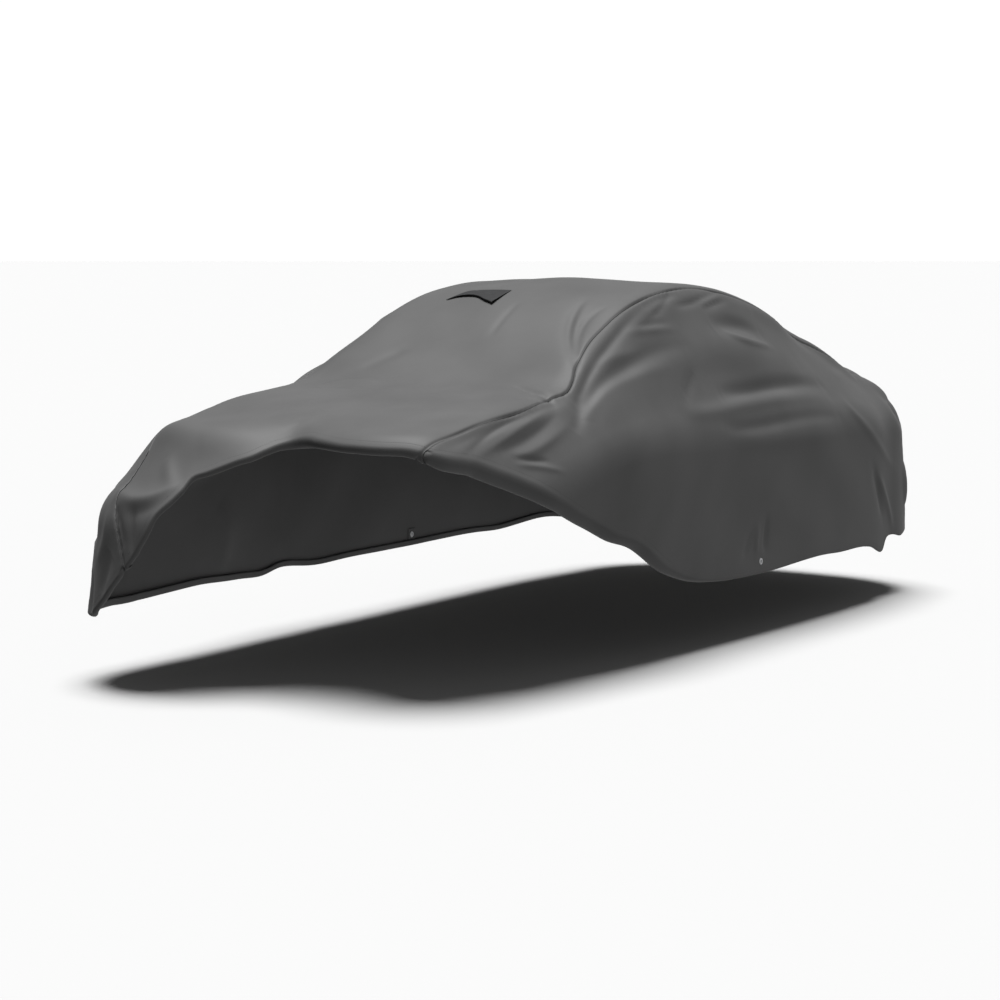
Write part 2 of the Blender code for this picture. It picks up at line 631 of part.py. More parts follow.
top_panel = make_top_panel(cover_cloth, cover)
pieces = [top_panel]
for hand, side, cells in (("left", 1, LEFT_CELLS), ("right", -1, RIGHT_CELLS)):
    panel = make_side_panel("side_panel_" + hand, side, cells, cover_cloth, cover)
    patch = make_patch("eyelet_patch_" + hand, side, cover_cloth, cover)
    ring = make_eyelet("eyelet_" + hand, side, eyelet_plastic, cover)
    cut_bore((panel, patch), side, bores)
    pieces += [panel, patch, ring]
pieces.append(make_vent_piece("vent_mesh", NET_SPAN, NET_DEPTH, False, VENT_NET, vent_net, cover))
pieces.append(make_vent_piece("vent_hood", (0.0, 1.0), (0.0, 1.0), True, VENT_CLOTH, vent_cloth, cover))

# The part's own origin is under the crown of the roof, where the covered body holds the cloth up.
support = bpy.data.objects.new("support_frame", None)
cover.objects.link(support)
for child in pieces + list(bores.objects):
    child.parent = support
support.location = (0.0, -SUPPORT_ALONG, -SUPPORT_HEIGHT)
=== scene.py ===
import bpy
import numpy as np
from mathutils import Matrix, Vector


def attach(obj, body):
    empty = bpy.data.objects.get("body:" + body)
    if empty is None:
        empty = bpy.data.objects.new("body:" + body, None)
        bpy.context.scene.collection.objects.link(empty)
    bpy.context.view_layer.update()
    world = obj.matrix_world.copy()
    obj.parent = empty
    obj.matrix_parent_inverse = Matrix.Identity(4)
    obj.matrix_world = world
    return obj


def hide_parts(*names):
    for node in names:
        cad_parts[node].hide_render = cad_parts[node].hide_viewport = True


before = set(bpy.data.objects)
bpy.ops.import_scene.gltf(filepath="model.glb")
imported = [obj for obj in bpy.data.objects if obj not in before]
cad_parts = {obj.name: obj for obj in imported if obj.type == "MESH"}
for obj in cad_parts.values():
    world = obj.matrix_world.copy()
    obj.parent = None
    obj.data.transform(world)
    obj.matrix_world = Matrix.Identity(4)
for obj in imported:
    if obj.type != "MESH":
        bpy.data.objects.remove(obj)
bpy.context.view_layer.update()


# ------------------------------------------------------------
# Top panel: one long cut of grey cloth, a non-woven polypropylene felt bonded to a thin film, that lies
# over the front deck, the roof and the tail. It is sewn to the side panels by a flat seam down each side,
# and its front and rear edges are turned under around a hem.
# ------------------------------------------------------------

# The cloth is laid out on a pattern: "across" is the distance along the cloth from the centre line, to the
# left when positive, and "along" is the distance behind a station near the front. Past the two pivots the
# pattern turns like a fan. Heights are above the ground, and the frame's origin is under the roof's crown.
CLOTH = 0.002
SEAM_GAP = 0.0005
NOSE_PIVOT = -0.30
TAIL_PIVOT = 3.10
FOOT_HEIGHT = 0.18
SOFT_EDGE = 0.085
NEAR_ZERO = 1e-12
SUPPORT = np.array((0.0, 1.70, 1.520))

# Past the nose pivot the front deck's fall goes on for a little way and then eases back. Close to either
# pivot the cloth is averaged over two rings of places, so that the fan's point leaves no crease.
NOSE_FALL = 0.14
NOSE_FALL_REACH = 0.30
TURN_BLEND = 0.14
TURN_LEAST = 0.001
TURN_ROUND = (0.04, 0.08)
TURN_ANGLES = np.radians(np.arange(0, 360, 60))

SECTION_COLUMNS = ("along", "crown", "shoulder_out", "shoulder_up", "belt_out", "belt_up", "foot_out")
SECTIONS = np.array((
    (-0.30, 1.035, 0.665, 1.008, 0.850, 0.70, 0.865),
    (0.05, 1.085, 0.665, 1.064, 0.855, 0.76, 0.870),
    (0.35, 1.112, 0.665, 1.102, 0.865, 0.84, 0.880),
    (0.50, 1.137, 0.660, 1.138, 0.880, 0.88, 0.885),
    (0.65, 1.210, 0.635, 1.228, 0.902, 0.91, 0.890),
    (0.90, 1.372, 0.600, 1.340, 0.900, 0.92, 0.895),
    (1.15, 1.478, 0.575, 1.437, 0.893, 0.91, 0.900),
    (1.45, 1.530, 0.560, 1.498, 0.892, 0.90, 0.905),
    (1.85, 1.513, 0.555, 1.502, 0.905, 0.90, 0.920),
    (2.20, 1.450, 0.560, 1.443, 0.915, 0.90, 0.930),
    (2.55, 1.354, 0.575, 1.324, 0.915, 0.90, 0.930),
    (2.90, 1.239, 0.600, 1.186, 0.900, 0.88, 0.915),
    (3.10, 1.172, 0.610, 1.104, 0.872, 0.86, 0.890),
))

# The last section of each fan, straight ahead or straight behind: distances from the pivot.
END_COLUMNS = ("shoulder_out", "shoulder_up", "belt_out", "belt_up", "foot_out", "squareness")
NOSE = dict(zip(END_COLUMNS, (0.22, 0.905, 0.515, 0.675, 0.60, 3.2)))
TAIL = dict(zip(END_COLUMNS, (0.41, 0.992, 0.545, 0.850, 0.610, 2.7)))

# The hem, once round. "roll" is the radius that the edge turns under by. "seam", which only the two sides
# have, is the place along the roof seam that the side panel's cloth comes down from.
HEM_COLUMNS = ("across", "along", "roll", "seam")
HEM_LEFT = np.array((
    (0.664, -0.490, 0.028, -0.490),
    (0.752, -0.432, 0.036, -0.432),
    (0.796, -0.362, 0.039, -0.370),
    (0.817, -0.308, 0.040, -0.320),
    (0.854, -0.242, 0.041, -0.255),
    (0.910, -0.155, 0.042, -0.165),
    (0.982, -0.049, 0.042, -0.055),
    (1.070, 0.068, 0.041, 0.068),
    (1.154, 0.198, 0.040, 0.198),
    (1.265, 0.376, 0.040, 0.376),
    (1.476, 0.640, 0.036, 0.640),
    (1.688, 0.912, 0.028, 0.912),
    (1.791, 1.109, 0.020, 1.109),
    (1.851, 1.326, 0.012, 1.326),
    (1.876, 1.530, 0.007, 1.530),
    (1.880, 1.747, 0.006, 1.747),
    (1.775, 2.398, 0.006, 2.398),
    (1.668, 2.820, 0.006, 2.820),
    (1.648, 2.980, 0.006, 2.980),
    (1.570, 3.048, 0.006, 3.048),
    (1.528, 3.372, 0.006, 3.300),
    (1.277, 3.837, 0.006, 3.690),
    (0.861, 4.126, 0.006, 4.060),
    (0.614, 4.218, 0.006, 4.218),
))
HEM_TAIL = np.array((
    (0.425, 4.267, 0.006),
    (0.000, 4.310, 0.006),
    (-0.425, 4.267, 0.006),
))
HEM_RIGHT = np.array((
    (-0.614, 4.218, 0.006, 4.218),
    (-0.861, 4.126, 0.006, 4.060),
    (-1.277, 3.837, 0.006, 3.690),
    (-1.518, 3.368, 0.006, 3.300),
    (-1.566, 3.080, 0.006, 3.080),
    (-1.800, 2.350, 0.006, 2.350),
    (-1.880, 1.650, 0.006, 1.650),
    (-1.795, 1.000, 0.006, 1.000),
    (-1.550, 0.300, 0.008, 0.300),
    (-1.460, -0.300, 0.010, -0.300),
    (-1.432, -0.553, 0.011, -0.480),
    (-1.324, -0.782, 0.012, -0.640),
    (-1.052, -1.032, 0.012, -0.850),
    (-0.780, -1.050, 0.012, -0.980),
    (-0.665, -1.027, 0.012, -1.027),
))
HEM_NOSE = np.array((
    (-0.555, -0.989, 0.012),
    (-0.466, -0.942, 0.012),
    (-0.402, -0.871, 0.012),
    (-0.364, -0.832, 0.013),
    (-0.329, -0.777, 0.013),
    (-0.308, -0.706, 0.013),
    (-0.258, -0.683, 0.014),
    (-0.204, -0.652, 0.015),
    (-0.152, -0.618, 0.015),
    (-0.099, -0.583, 0.016),
    (-0.056, -0.531, 0.017),
    (-0.018, -0.482, 0.019),
    (0.014, -0.459, 0.023),
    (0.056, -0.452, 0.027),
    (0.100, -0.461, 0.027),
    (0.157, -0.486, 0.025),
    (0.242, -0.520, 0.023),
    (0.310, -0.538, 0.022),
    (0.389, -0.545, 0.022),
    (0.451, -0.544, 0.022),
    (0.525, -0.532, 0.022),
    (0.594, -0.512, 0.023),
))

# Folds that the hanging cloth has set into. Each is a bent path of three places on the pattern. "rise" is
# how far it stands out of the cloth, a trough being negative. "keen" is 2 for a soft swell and nearer 1
# for a pinched crease, and "lean" makes the flank on the path's left the gentler one, up to 1. A row
# leaves them out where they are as in FOLD_PLAIN.
FOLD_COLUMNS = (
    "across_a", "along_a", "across_b", "along_b", "across_c", "along_c",
    "rise", "half_width", "keen", "lean",
)
FOLD_PLAIN = {"keen": 2.0, "lean": 0.0}
FOLDS_LEFT = (
    # trough beside the seam, under the front slope, the roof and the front deck
    (0.745, 0.45, 0.680, 0.75, 0.612, 1.25, -0.015, 0.028),
    (0.612, 1.20, 0.600, 1.40, 0.598, 1.55, -0.006, 0.020),
    (0.705, -0.42, 0.705, 0.05, 0.700, 0.45, -0.008, 0.028),
    # folds that fan back from the foot of the slope
    (0.690, 0.68, 0.710, 0.82, 0.760, 1.02, 0.005, 0.026, 1.8),
    (0.770, 0.46, 0.778, 0.80, 0.836, 1.37, -0.018, 0.042, 1.9),
    (0.830, 0.46, 0.800, 0.66, 0.885, 1.15, 0.007, 0.028, 1.8),
    (0.840, 0.50, 0.870, 1.40, 0.880, 2.40, 0.018, 0.110),
    (0.950, 1.34, 1.000, 1.26, 1.040, 1.18, -0.006, 0.030),
    # pinches below the roof's edge
    (0.569, 1.507, 0.640, 1.36, 0.667, 1.20, -0.007, 0.013, 1.4, 0.3),
    (0.680, 1.11, 0.690, 1.20, 0.712, 1.33, -0.006, 0.014, 1.6),
    (0.670, 1.02, 0.711, 1.18, 0.750, 1.38, 0.006, 0.018, 1.8),
    (0.655, 1.47, 0.640, 1.68, 0.565, 1.945, -0.010, 0.016, 1.5, 0.2),
    (0.655, 1.70, 0.645, 1.76, 0.600, 1.93, 0.006, 0.012, 1.6),
    (0.680, 1.70, 0.645, 1.85, 0.615, 1.98, -0.008, 0.015, 1.6),
    # hollow below the rear of the roof
    (0.780, 1.68, 0.755, 1.90, 0.770, 2.12, -0.020, 0.045),
    (0.790, 1.78, 0.835, 1.93, 0.835, 2.16, 0.010, 0.018, 1.7),
    # long folds at the belt line
    (1.080, 1.50, 1.060, 1.92, 0.960, 2.48, -0.019, 0.034),
    (1.075, 1.12, 1.145, 1.60, 1.050, 2.45, 0.011, 0.034),
    (1.215, 1.42, 1.240, 1.80, 1.130, 2.48, -0.010, 0.030),
    (1.270, 1.50, 1.310, 1.90, 1.220, 2.45, 0.005, 0.045),
    # rear corner, and the slack around the rear deck
    (1.000, 2.64, 1.110, 2.72, 1.205, 3.19, 0.005, 0.030, 1.8),
    (1.290, 2.85, 1.380, 2.93, 1.490, 2.99, -0.010, 0.036),
    (1.310, 2.92, 1.380, 3.04, 1.490, 3.15, 0.008, 0.028, 1.8),
    (0.730, 2.97, 0.790, 2.85, 0.850, 2.74, 0.004, 0.030, 1.8),
    (0.600, 2.18, 0.620, 2.34, 0.640, 2.50, 0.009, 0.060),
    (0.620, 2.50, 0.650, 2.60, 0.670, 2.70, -0.008, 0.050),
    (0.600, 2.70, 0.665, 2.93, 0.690, 3.13, 0.019, 0.055),
    (0.440, 3.18, 0.580, 3.24, 0.680, 3.25, -0.028, 0.060),
    (0.700, 3.24, 0.770, 3.32, 0.830, 3.36, 0.018, 0.055),
    (0.860, 3.28, 0.920, 3.35, 0.980, 3.42, -0.026, 0.060),
    (1.150, 3.42, 1.250, 3.48, 1.340, 3.53, 0.020, 0.070),
    # short folds below the front deck's seam
    (0.767, -0.30, 0.720, -0.08, 0.712, 0.13, -0.007, 0.019, 1.8),
    (0.787, -0.235, 0.757, 0.03, 0.715, 0.28, 0.006, 0.018, 1.8),
    (0.806, -0.12, 0.795, 0.12, 0.735, 0.35, -0.010, 0.026, 1.8),
    (0.835, -0.03, 0.850, 0.10, 0.800, 0.36, 0.008, 0.023, 1.8),
    (0.853, -0.05, 0.885, 0.053, 0.910, 0.13, -0.006, 0.014, 1.8),
    (0.875, -0.06, 0.915, 0.06, 0.965, 0.18, 0.005, 0.015, 1.8),
    (0.730, 0.52, 0.800, 0.43, 0.845, 0.36, -0.009, 0.030, 1.8),
    # puckers above the eyelet
    (1.790, 1.72, 1.730, 1.735, 1.640, 1.75, -0.009, 0.017, 1.8),
    (1.790, 1.53, 1.750, 1.57, 1.690, 1.62, -0.006, 0.017, 1.8),
    (1.785, 1.645, 1.740, 1.655, 1.660, 1.675, 0.006, 0.016, 1.8),
)
FOLDS_TOP = (
    # fan of creases up the front slope, and the pinch that crosses the seam's corner
    (0.64, 0.60, 0.44, 0.87, 0.36, 1.13, -0.012, 0.020, 1.5),
    (0.64, 0.62, 0.49, 0.88, 0.49, 1.08, -0.009, 0.016, 1.5),
    (0.57, 0.70, 0.45, 0.91, 0.40, 1.10, 0.004, 0.015, 1.8),
    (0.70, 0.355, 0.574, 0.403, 0.42, 0.47, -0.014, 0.022, 1.3, 0.4),
    (0.68, 0.38, 0.640, 0.32, 0.600, 0.27, -0.006, 0.015, 1.4),
    (0.08, 1.05, 0.09, 0.94, 0.11, 0.80, -0.005, 0.013, 1.4),
    # the roof's crown, and where the front deck begins to fall away
    (-0.05, 1.40, 0.03, 1.46, 0.12, 1.52, -0.007, 0.100),
    (-0.40, 1.44, -0.28, 1.50, -0.16, 1.53, 0.005, 0.100),
    (-0.36, -0.56, -0.18, -0.48, 0.00, -0.42, 0.006, 0.080),
    # foot of the slope, far side
    (-0.66, -0.10, -0.67, 0.15, -0.66, 0.38, 0.010, 0.120),
    (-0.62, 0.45, -0.62, 0.72, -0.60, 1.00, -0.018, 0.110),
    (-0.44, 0.39, -0.34, 0.45, -0.19, 0.42, 0.008, 0.026, 1.8),
    (-0.44, 0.31, -0.32, 0.34, -0.17, 0.31, -0.009, 0.030, 1.8),
    (-0.25, 0.70, -0.31, 0.63, -0.39, 0.56, -0.006, 0.035),
    (-0.49, -0.60, -0.44, -0.68, -0.38, -0.75, 0.008, 0.028, 1.8),
    # slack over the rear slope and folds down the tail
    (0.30, 2.45, 0.05, 2.60, -0.25, 2.55, -0.006, 0.070),
    (0.40, 2.95, 0.00, 3.05, -0.40, 2.95, -0.008, 0.070),
    (0.30, 3.55, 0.22, 3.85, 0.16, 4.25, -0.012, 0.055, 1.8),
    (0.05, 3.60, -0.02, 3.90, -0.06, 4.25, 0.012, 0.055, 1.8),
    (-0.32, 3.55, -0.34, 3.85, -0.30, 4.20, -0.012, 0.055, 1.8),
    (0.45, 3.50, 0.50, 3.80, 0.46, 4.18, 0.006, 0.024, 1.6),
    (-0.12, 3.62, -0.20, 3.86, -0.19, 4.20, 0.006, 0.022, 1.6),
)
FOLDS_RIGHT = (
    # crease over the front corner and the folds under it
    (-0.72, -0.69, -0.52, -0.805, -0.34, -0.72, 0.016, 0.045, 1.8),
    (-0.71, -0.70, -0.52, -0.805, -0.35, -0.73, 0.006, 0.014, 1.4),
    (-0.60, -0.83, -0.47, -0.85, -0.37, -0.80, -0.008, 0.024, 1.8),
    (-0.546, -0.835, -0.560, -0.91, -0.603, -0.985, -0.010, 0.020, 1.8),
    (-0.664, -0.79, -0.635, -0.88, -0.645, -0.96, -0.009, 0.020, 1.8),
    (-0.70, -0.79, -0.77, -0.88, -0.91, -0.90, 0.010, 0.030, 1.8),
    (-0.74, -0.94, -0.83, -0.99, -0.92, -1.03, -0.010, 0.030, 1.8),
    (-0.72, -0.60, -0.69, -0.46, -0.66, -0.30, -0.008, 0.080),
    (-0.86, -0.56, -0.93, -0.69, -1.00, -0.77, -0.026, 0.080),
    (-1.03, -0.86, -1.08, -0.94, -1.12, -1.02, -0.018, 0.060),
    (-1.00, -0.62, -1.12, -0.74, -1.22, -0.88, -0.012, 0.045, 1.8),
    (-1.05, -0.30, -1.20, -0.40, -1.36, -0.50, 0.012, 0.055, 1.8),
    # upper side and belt line
    (-0.86, 0.38, -0.78, 0.64, -0.90, 1.20, 0.018, 0.050, 1.8),
    (-0.68, 0.57, -0.70, 0.80, -0.82, 1.15, -0.013, 0.045),
    (-0.66, 0.95, -0.70, 1.20, -0.75, 1.42, 0.008, 0.024, 1.6),
    (-0.58, 1.46, -0.63, 1.30, -0.66, 1.12, -0.005, 0.012, 1.4),
    (-1.02, 1.30, -1.06, 1.80, -0.94, 2.35, -0.016, 0.055),
    (-1.08, 0.95, -1.16, 1.55, -1.06, 2.30, 0.013, 0.060),
    (-1.24, 1.30, -1.28, 1.80, -1.16, 2.30, -0.009, 0.040, 1.8),
    (-0.78, 1.60, -0.74, 1.90, -0.74, 2.15, -0.015, 0.060),
    (-0.80, 1.70, -0.85, 1.90, -0.84, 2.16, 0.008, 0.022, 1.6),
    (-1.00, 2.70, -1.16, 2.92, -1.26, 3.30, 0.012, 0.050, 1.8),
    (-1.24, 2.80, -1.40, 2.92, -1.52, 3.05, -0.012, 0.050, 1.8),
    (-1.20, 0.20, -1.36, 0.26, -1.50, 0.20, -0.010, 0.055, 1.8),
)
FOLDS = FOLDS_LEFT + FOLDS_TOP + FOLDS_RIGHT
FOLD_STEPS = 16
FOLD_ENDS = (0.02, 0.98)
FOLD_END_FADE = 0.6
FOLD_REACH = 3.2
PROBE = 0.002

# The seam: it wanders off the shoulder's line at the foot of the slope, where the side's weight pulls it
# down. Columns: along, shift across.
SEAM_SHIFT = np.array((
    (-0.60, 0.000),
    (-0.15, -0.003),
    (0.10, 0.014),
    (0.36, -0.002),
    (0.50, 0.014),
    (0.56, 0.004),
    (0.62, -0.013),
    (0.70, -0.019),
    (0.80, -0.026),
    (0.94, -0.021),
    (1.13, -0.008),
    (1.40, 0.002),
    (1.80, 0.000),
    (2.00, 0.012),
    (2.30, 0.040),
    (2.60, 0.060),
    (2.90, 0.068),
    (3.30, 0.045),
))

# Both panels dip into the seam, deeper in some places than in others, the side panel's turned-in edge makes
# a flat band beside it, and the thread draws the cloth up into small puckers. Waves along the seam are
# given by their rate, how far it swings, and the rate of that swing, all in radians for a metre.
SEAM_DIP = 0.0060
SEAM_DIP_UNEVEN = 0.35
SEAM_DIP_WAVES = (13.0, 2.0, 4.1)
SEAM_DIP_WIDTH = 0.008
SEAM_BAND = 0.011
SEAM_BAND_EDGE = 0.003
SEAM_BAND_RISE = 0.0012
PUCKER_RISE = 0.0011
PUCKER_PITCH = 0.041
PUCKER_WAVES = (2 * np.pi / PUCKER_PITCH, 1.7, 9.0)
PUCKER_CLUMPS = 5.3
PUCKER_WIDTH = 0.028

# Slack in the cloth: a few long shallow waves. Columns: waves per metre across, waves per metre along,
# phase, height.
SLACK = (
    (1.1, 0.7, 0.4, 0.0016),
    (-1.6, 1.3, 1.9, 0.0012),
    (2.7, -0.8, 3.1, 0.0008),
    (0.6, 2.9, 5.2, 0.0007),
    (3.6, 3.1, 2.2, 0.0004),
)


def column(rows, columns, name):
    return rows[:, columns.index(name)]


def eased(t):
    return t * t * (3 - 2 * t)


def unit(way):
    return way / np.linalg.norm(way, axis=-1, keepdims=True)


def paired(across, along):
    return np.stack((across, along), axis=-1)


def smooth_between(places, values, at):
    """A smooth curve through the values, read at the given places."""
    step = np.diff(places)
    slope = np.diff(values) / step
    inner = (slope[:-1] * step[1:] + slope[1:] * step[:-1]) / (step[1:] + step[:-1])
    tangent = np.concatenate((slope[:1], inner, slope[-1:]))
    at = np.clip(at, places[0], places[-1])
    left = np.clip(np.searchsorted(places, at, side="right") - 1, 0, len(step) - 1)
    t = (at - places[left]) / step[left]
    bend = eased(t)
    return (
        values[left] * (1 - bend)
        + values[left + 1] * bend
        + step[left] * t * (1 - t) * ((1 - t) * tangent[left] - t * tangent[left + 1])
    )


def section(name, along):
    places = column(SECTIONS, SECTION_COLUMNS, "along")
    return smooth_between(places, column(SECTIONS, SECTION_COLUMNS, name), along)


def rounded_reach(side, end, squareness, turn):
    """Distance from a pivot to a rounded corner between a side and an end, at an angle from the side."""
    inward = (np.cos(turn) / side) ** squareness + (np.sin(turn) / end) ** squareness
    return inward ** (-1 / squareness)


def softened(knots, lengths, starts, at):
    """The average of a bent line over SOFT_EDGE each side of a place, which rounds its corners."""

    def area(distance):
        total = np.zeros_like(distance)
        done = np.zeros_like(distance)
        for k, length in enumerate(lengths):
            last = k == len(lengths) - 1
            run = distance - starts[k]
            rise = (knots[k + 1] - knots[k]) / length
            inside = (run >= 0) & ((run < length) | last)
            total = np.where(inside, done + knots[k] * run + 0.5 * rise * run * run, total)
            done = done + 0.5 * (knots[k] + knots[k + 1]) * length
        return total

    return (area(at + SOFT_EDGE) - area(at - SOFT_EDGE)) / (2 * SOFT_EDGE)


def fanned_drape(across, along):
    """The cloth without its folds, in the part's frame, with a sharp turn at each pivot."""
    pivot = np.clip(along, NOSE_PIVOT, TAIL_PIVOT)
    past = along - pivot
    reach = np.hypot(across, past)
    turn = np.arctan2(np.abs(past), np.abs(across) + NEAR_ZERO)
    share = eased(turn / (np.pi / 2))
    values = {name: section(name, pivot) for name in SECTION_COLUMNS[1:]}
    for end, beyond in ((NOSE, past < 0), (TAIL, past > 0)):
        for name in ("shoulder_out", "belt_out", "foot_out"):
            rounded = rounded_reach(values[name], end[name], end["squareness"], turn)
            values[name] = np.where(beyond, rounded, values[name])
        for name in ("shoulder_up", "belt_up"):
            lowered = values[name] + (end[name] - values[name]) * share
            values[name] = np.where(beyond, lowered, values[name])
    zero = np.zeros_like(reach)
    out = [-values["shoulder_out"], zero]
    out += [values[name] for name in ("shoulder_out", "belt_out", "foot_out")]
    up = [values[name] for name in ("shoulder_up", "crown", "shoulder_up", "belt_up")]
    up += [zero + FOOT_HEIGHT]
    lengths = [np.hypot(out[k + 1] - out[k], up[k + 1] - up[k]) for k in range(len(out) - 1)]
    starts = [-lengths[0], zero, lengths[1], lengths[1] + lengths[2]]
    distance_out = softened(out, lengths, starts, reach)
    run = np.clip(-past, 0, NOSE_FALL_REACH)
    height = softened(up, lengths, starts, reach) - NOSE_FALL * run * (1 - run / NOSE_FALL_REACH) ** 2
    safe = np.maximum(reach, NEAR_ZERO)
    place = np.stack((across / safe * distance_out, pivot + past / safe * distance_out, height), axis=-1)
    return place - SUPPORT


def smooth_drape(across, along):
    """The cloth without its folds. Near a pivot it is the average over a small round of places."""
    place = fanned_drape(across, along)
    share = sum(np.exp(-(((along - pivot) / TURN_BLEND) ** 2)) for pivot in (NOSE_PIVOT, TAIL_PIVOT))
    close = share > TURN_LEAST
    if close.any():
        shifts = [(r * np.cos(a), r * np.sin(a)) for r in TURN_ROUND for a in TURN_ANGLES]
        around = sum(fanned_drape(across[close] + a, along[close] + b) for a, b in shifts) / len(shifts)
        place[close] += share[close][..., None] * (around - place[close])
    return place


def fold_rise(across, along):
    """How far the folds lift the cloth at each place on the pattern."""
    rise = np.zeros(across.shape)
    for row in FOLDS:
        fold = FOLD_PLAIN | dict(zip(FOLD_COLUMNS, row))
        a, b, c = [np.array((fold["across_" + k], fold["along_" + k])) for k in "abc"]
        control = 2 * b - 0.5 * (a + c)
        reach = FOLD_REACH * fold["half_width"]
        low = np.minimum(np.minimum(a, b), c) - reach
        high = np.maximum(np.maximum(a, b), c) + reach
        near = (across > low[0]) & (across < high[0]) & (along > low[1]) & (along < high[1])
        if not near.any():
            continue
        place = paired(across[near], along[near])
        steps = np.linspace(0, 1, FOLD_STEPS + 1)
        path = [(1 - t) ** 2 * a + 2 * t * (1 - t) * control + t * t * c for t in steps]
        nearest = np.full(len(place), np.inf)
        where = np.zeros(len(place))
        hand = np.zeros(len(place))
        for k in range(FOLD_STEPS):
            span = path[k + 1] - path[k]
            off = place - path[k]
            share = np.clip((off @ span) / (span @ span), 0, 1)
            gap = np.linalg.norm(off - share[:, None] * span, axis=1)
            closer = gap < nearest
            nearest = np.where(closer, gap, nearest)
            where = np.where(closer, (k + share) / FOLD_STEPS, where)
            hand = np.where(closer, np.sign(span[0] * off[:, 1] - span[1] * off[:, 0]), hand)
        fade = np.sin(np.pi * np.clip(where, *FOLD_ENDS)) ** FOLD_END_FADE
        width = fold["half_width"] * (1 + fold["lean"] * hand)
        rise[near] += fold["rise"] * fade * np.exp(-((nearest / width) ** fold["keen"]))
    return rise


def seam_across(along):
    pivot = np.clip(along, NOSE_PIVOT, TAIL_PIVOT)
    drop = section("crown", pivot) - section("shoulder_up", pivot)
    shift = smooth_between(SEAM_SHIFT[:, 0], SEAM_SHIFT[:, 1], pivot)
    return np.hypot(section("shoulder_out", pivot), drop) + shift


def wavering(along, waves):
    rate, swing, swing_rate = waves
    return np.sin(along * rate + swing * np.sin(along * swing_rate))


def seam_rise(across, along):
    """The dip into the seam, the flat band on the side panel's side of it, and the puckers."""
    past = np.abs(across) - seam_across(along)
    depth = SEAM_DIP * (1 + SEAM_DIP_UNEVEN * wavering(along, SEAM_DIP_WAVES))
    dip = -depth * np.exp(-((past / SEAM_DIP_WIDTH) ** 2))
    band = np.clip((SEAM_BAND - past) / SEAM_BAND_EDGE, 0, 1) * np.clip(past / SEAM_BAND_EDGE, 0, 1)
    uneven = wavering(along, PUCKER_WAVES) * (1 + np.sin(along * PUCKER_CLUMPS))
    return dip + SEAM_BAND_RISE * band + PUCKER_RISE / 2 * uneven * np.exp(-((past / PUCKER_WIDTH) ** 2))


def slack_rise(across, along):
    rise = np.zeros(across.shape)
    for by_across, by_along, phase, height in SLACK:
        rise = rise + height * np.sin(2 * np.pi * (by_across * across + by_along * along) + phase)
    return rise


def normals_of(surface, across, along, step=PROBE):
    by_across = surface(across + step, along) - surface(across - step, along)
    by_along = surface(across, along + step) - surface(across, along - step)
    return unit(np.cross(by_across, by_along))


def drape(across, along):
    """The outer face of the cloth at each place on the pattern, with folds, seams and slack."""
    rise = fold_rise(across, along) + seam_rise(across, along) + slack_rise(across, along)
    return smooth_drape(across, along) + rise[..., None] * normals_of(smooth_drape, across, along)


# The hem as one loop, and the distances round it of its rows and of the four places where a seam ends.
HEM_ROWS = np.concatenate((HEM_LEFT[:, :3], HEM_TAIL, HEM_RIGHT[:, :3], HEM_NOSE, HEM_LEFT[:1, :3]))
HEM_STRIDES = np.linalg.norm(np.diff(HEM_ROWS[:, :2], axis=0), axis=1)
HEM_ROUND = np.concatenate(([0.0], np.cumsum(HEM_STRIDES)))
FULL_ROUND = HEM_ROUND[-1]
LEFT_ROUND = HEM_ROUND[:len(HEM_LEFT)]
RIGHT_ROUND = HEM_ROUND[len(HEM_LEFT) + len(HEM_TAIL):][:len(HEM_RIGHT)]
LEFT_FRONT, LEFT_REAR = LEFT_ROUND[[0, -1]]
RIGHT_REAR, RIGHT_FRONT = RIGHT_ROUND[[0, -1]]
SEAM_ENDS = ((LEFT_FRONT, -1), (FULL_ROUND, -1), (RIGHT_FRONT, -1), (LEFT_REAR, 1), (RIGHT_REAR, 1))
LOOP_LAP = 3
CORNER_BLEND = 0.06
TIP = 0.004


def hem_at(distance):
    """Across, along and roll of the hem, read round a loop that has no ends."""
    last = slice(-1 - LOOP_LAP, -1)
    first = slice(1, 1 + LOOP_LAP)
    rows = np.concatenate((HEM_ROWS[last], HEM_ROWS, HEM_ROWS[first]))
    places = np.concatenate((HEM_ROUND[last] - FULL_ROUND, HEM_ROUND, HEM_ROUND[first] + FULL_ROUND))
    return [smooth_between(places, values, distance) for values in rows.T]


def hem_edge(distance, step=0.01):
    """Where the turned-under edge starts, the way off the cloth on the pattern, and the roll.

    At the four corners where a seam meets the hem, both panels turn their edge along the seam.
    """
    across, along, roll = hem_at(distance)
    ahead = hem_at(distance + step)
    behind = hem_at(distance - step)
    run = unit(paired(ahead[0] - behind[0], ahead[1] - behind[1]))
    off = paired(run[..., 1], -run[..., 0])
    for corner, way in SEAM_ENDS:
        pull = np.exp(-(((distance - corner) / CORNER_BLEND) ** 2))[..., None]
        off = off * (1 - pull) + np.array((0.0, way)) * pull
    off = unit(off)
    return across - off[..., 0] * roll, along - off[..., 1] * roll, off, roll


STATION_CROWDING = 0.288
FRONT_SETTLE = 0.25
REAR_SETTLE = 0.2


def stations(cells):
    """Shares of the cover's length, closer together over the front deck and the slope behind it."""
    even = np.linspace(0, 1, cells + 1)
    return even - STATION_CROWDING * np.sin(np.pi * even) * even * (1 - even)


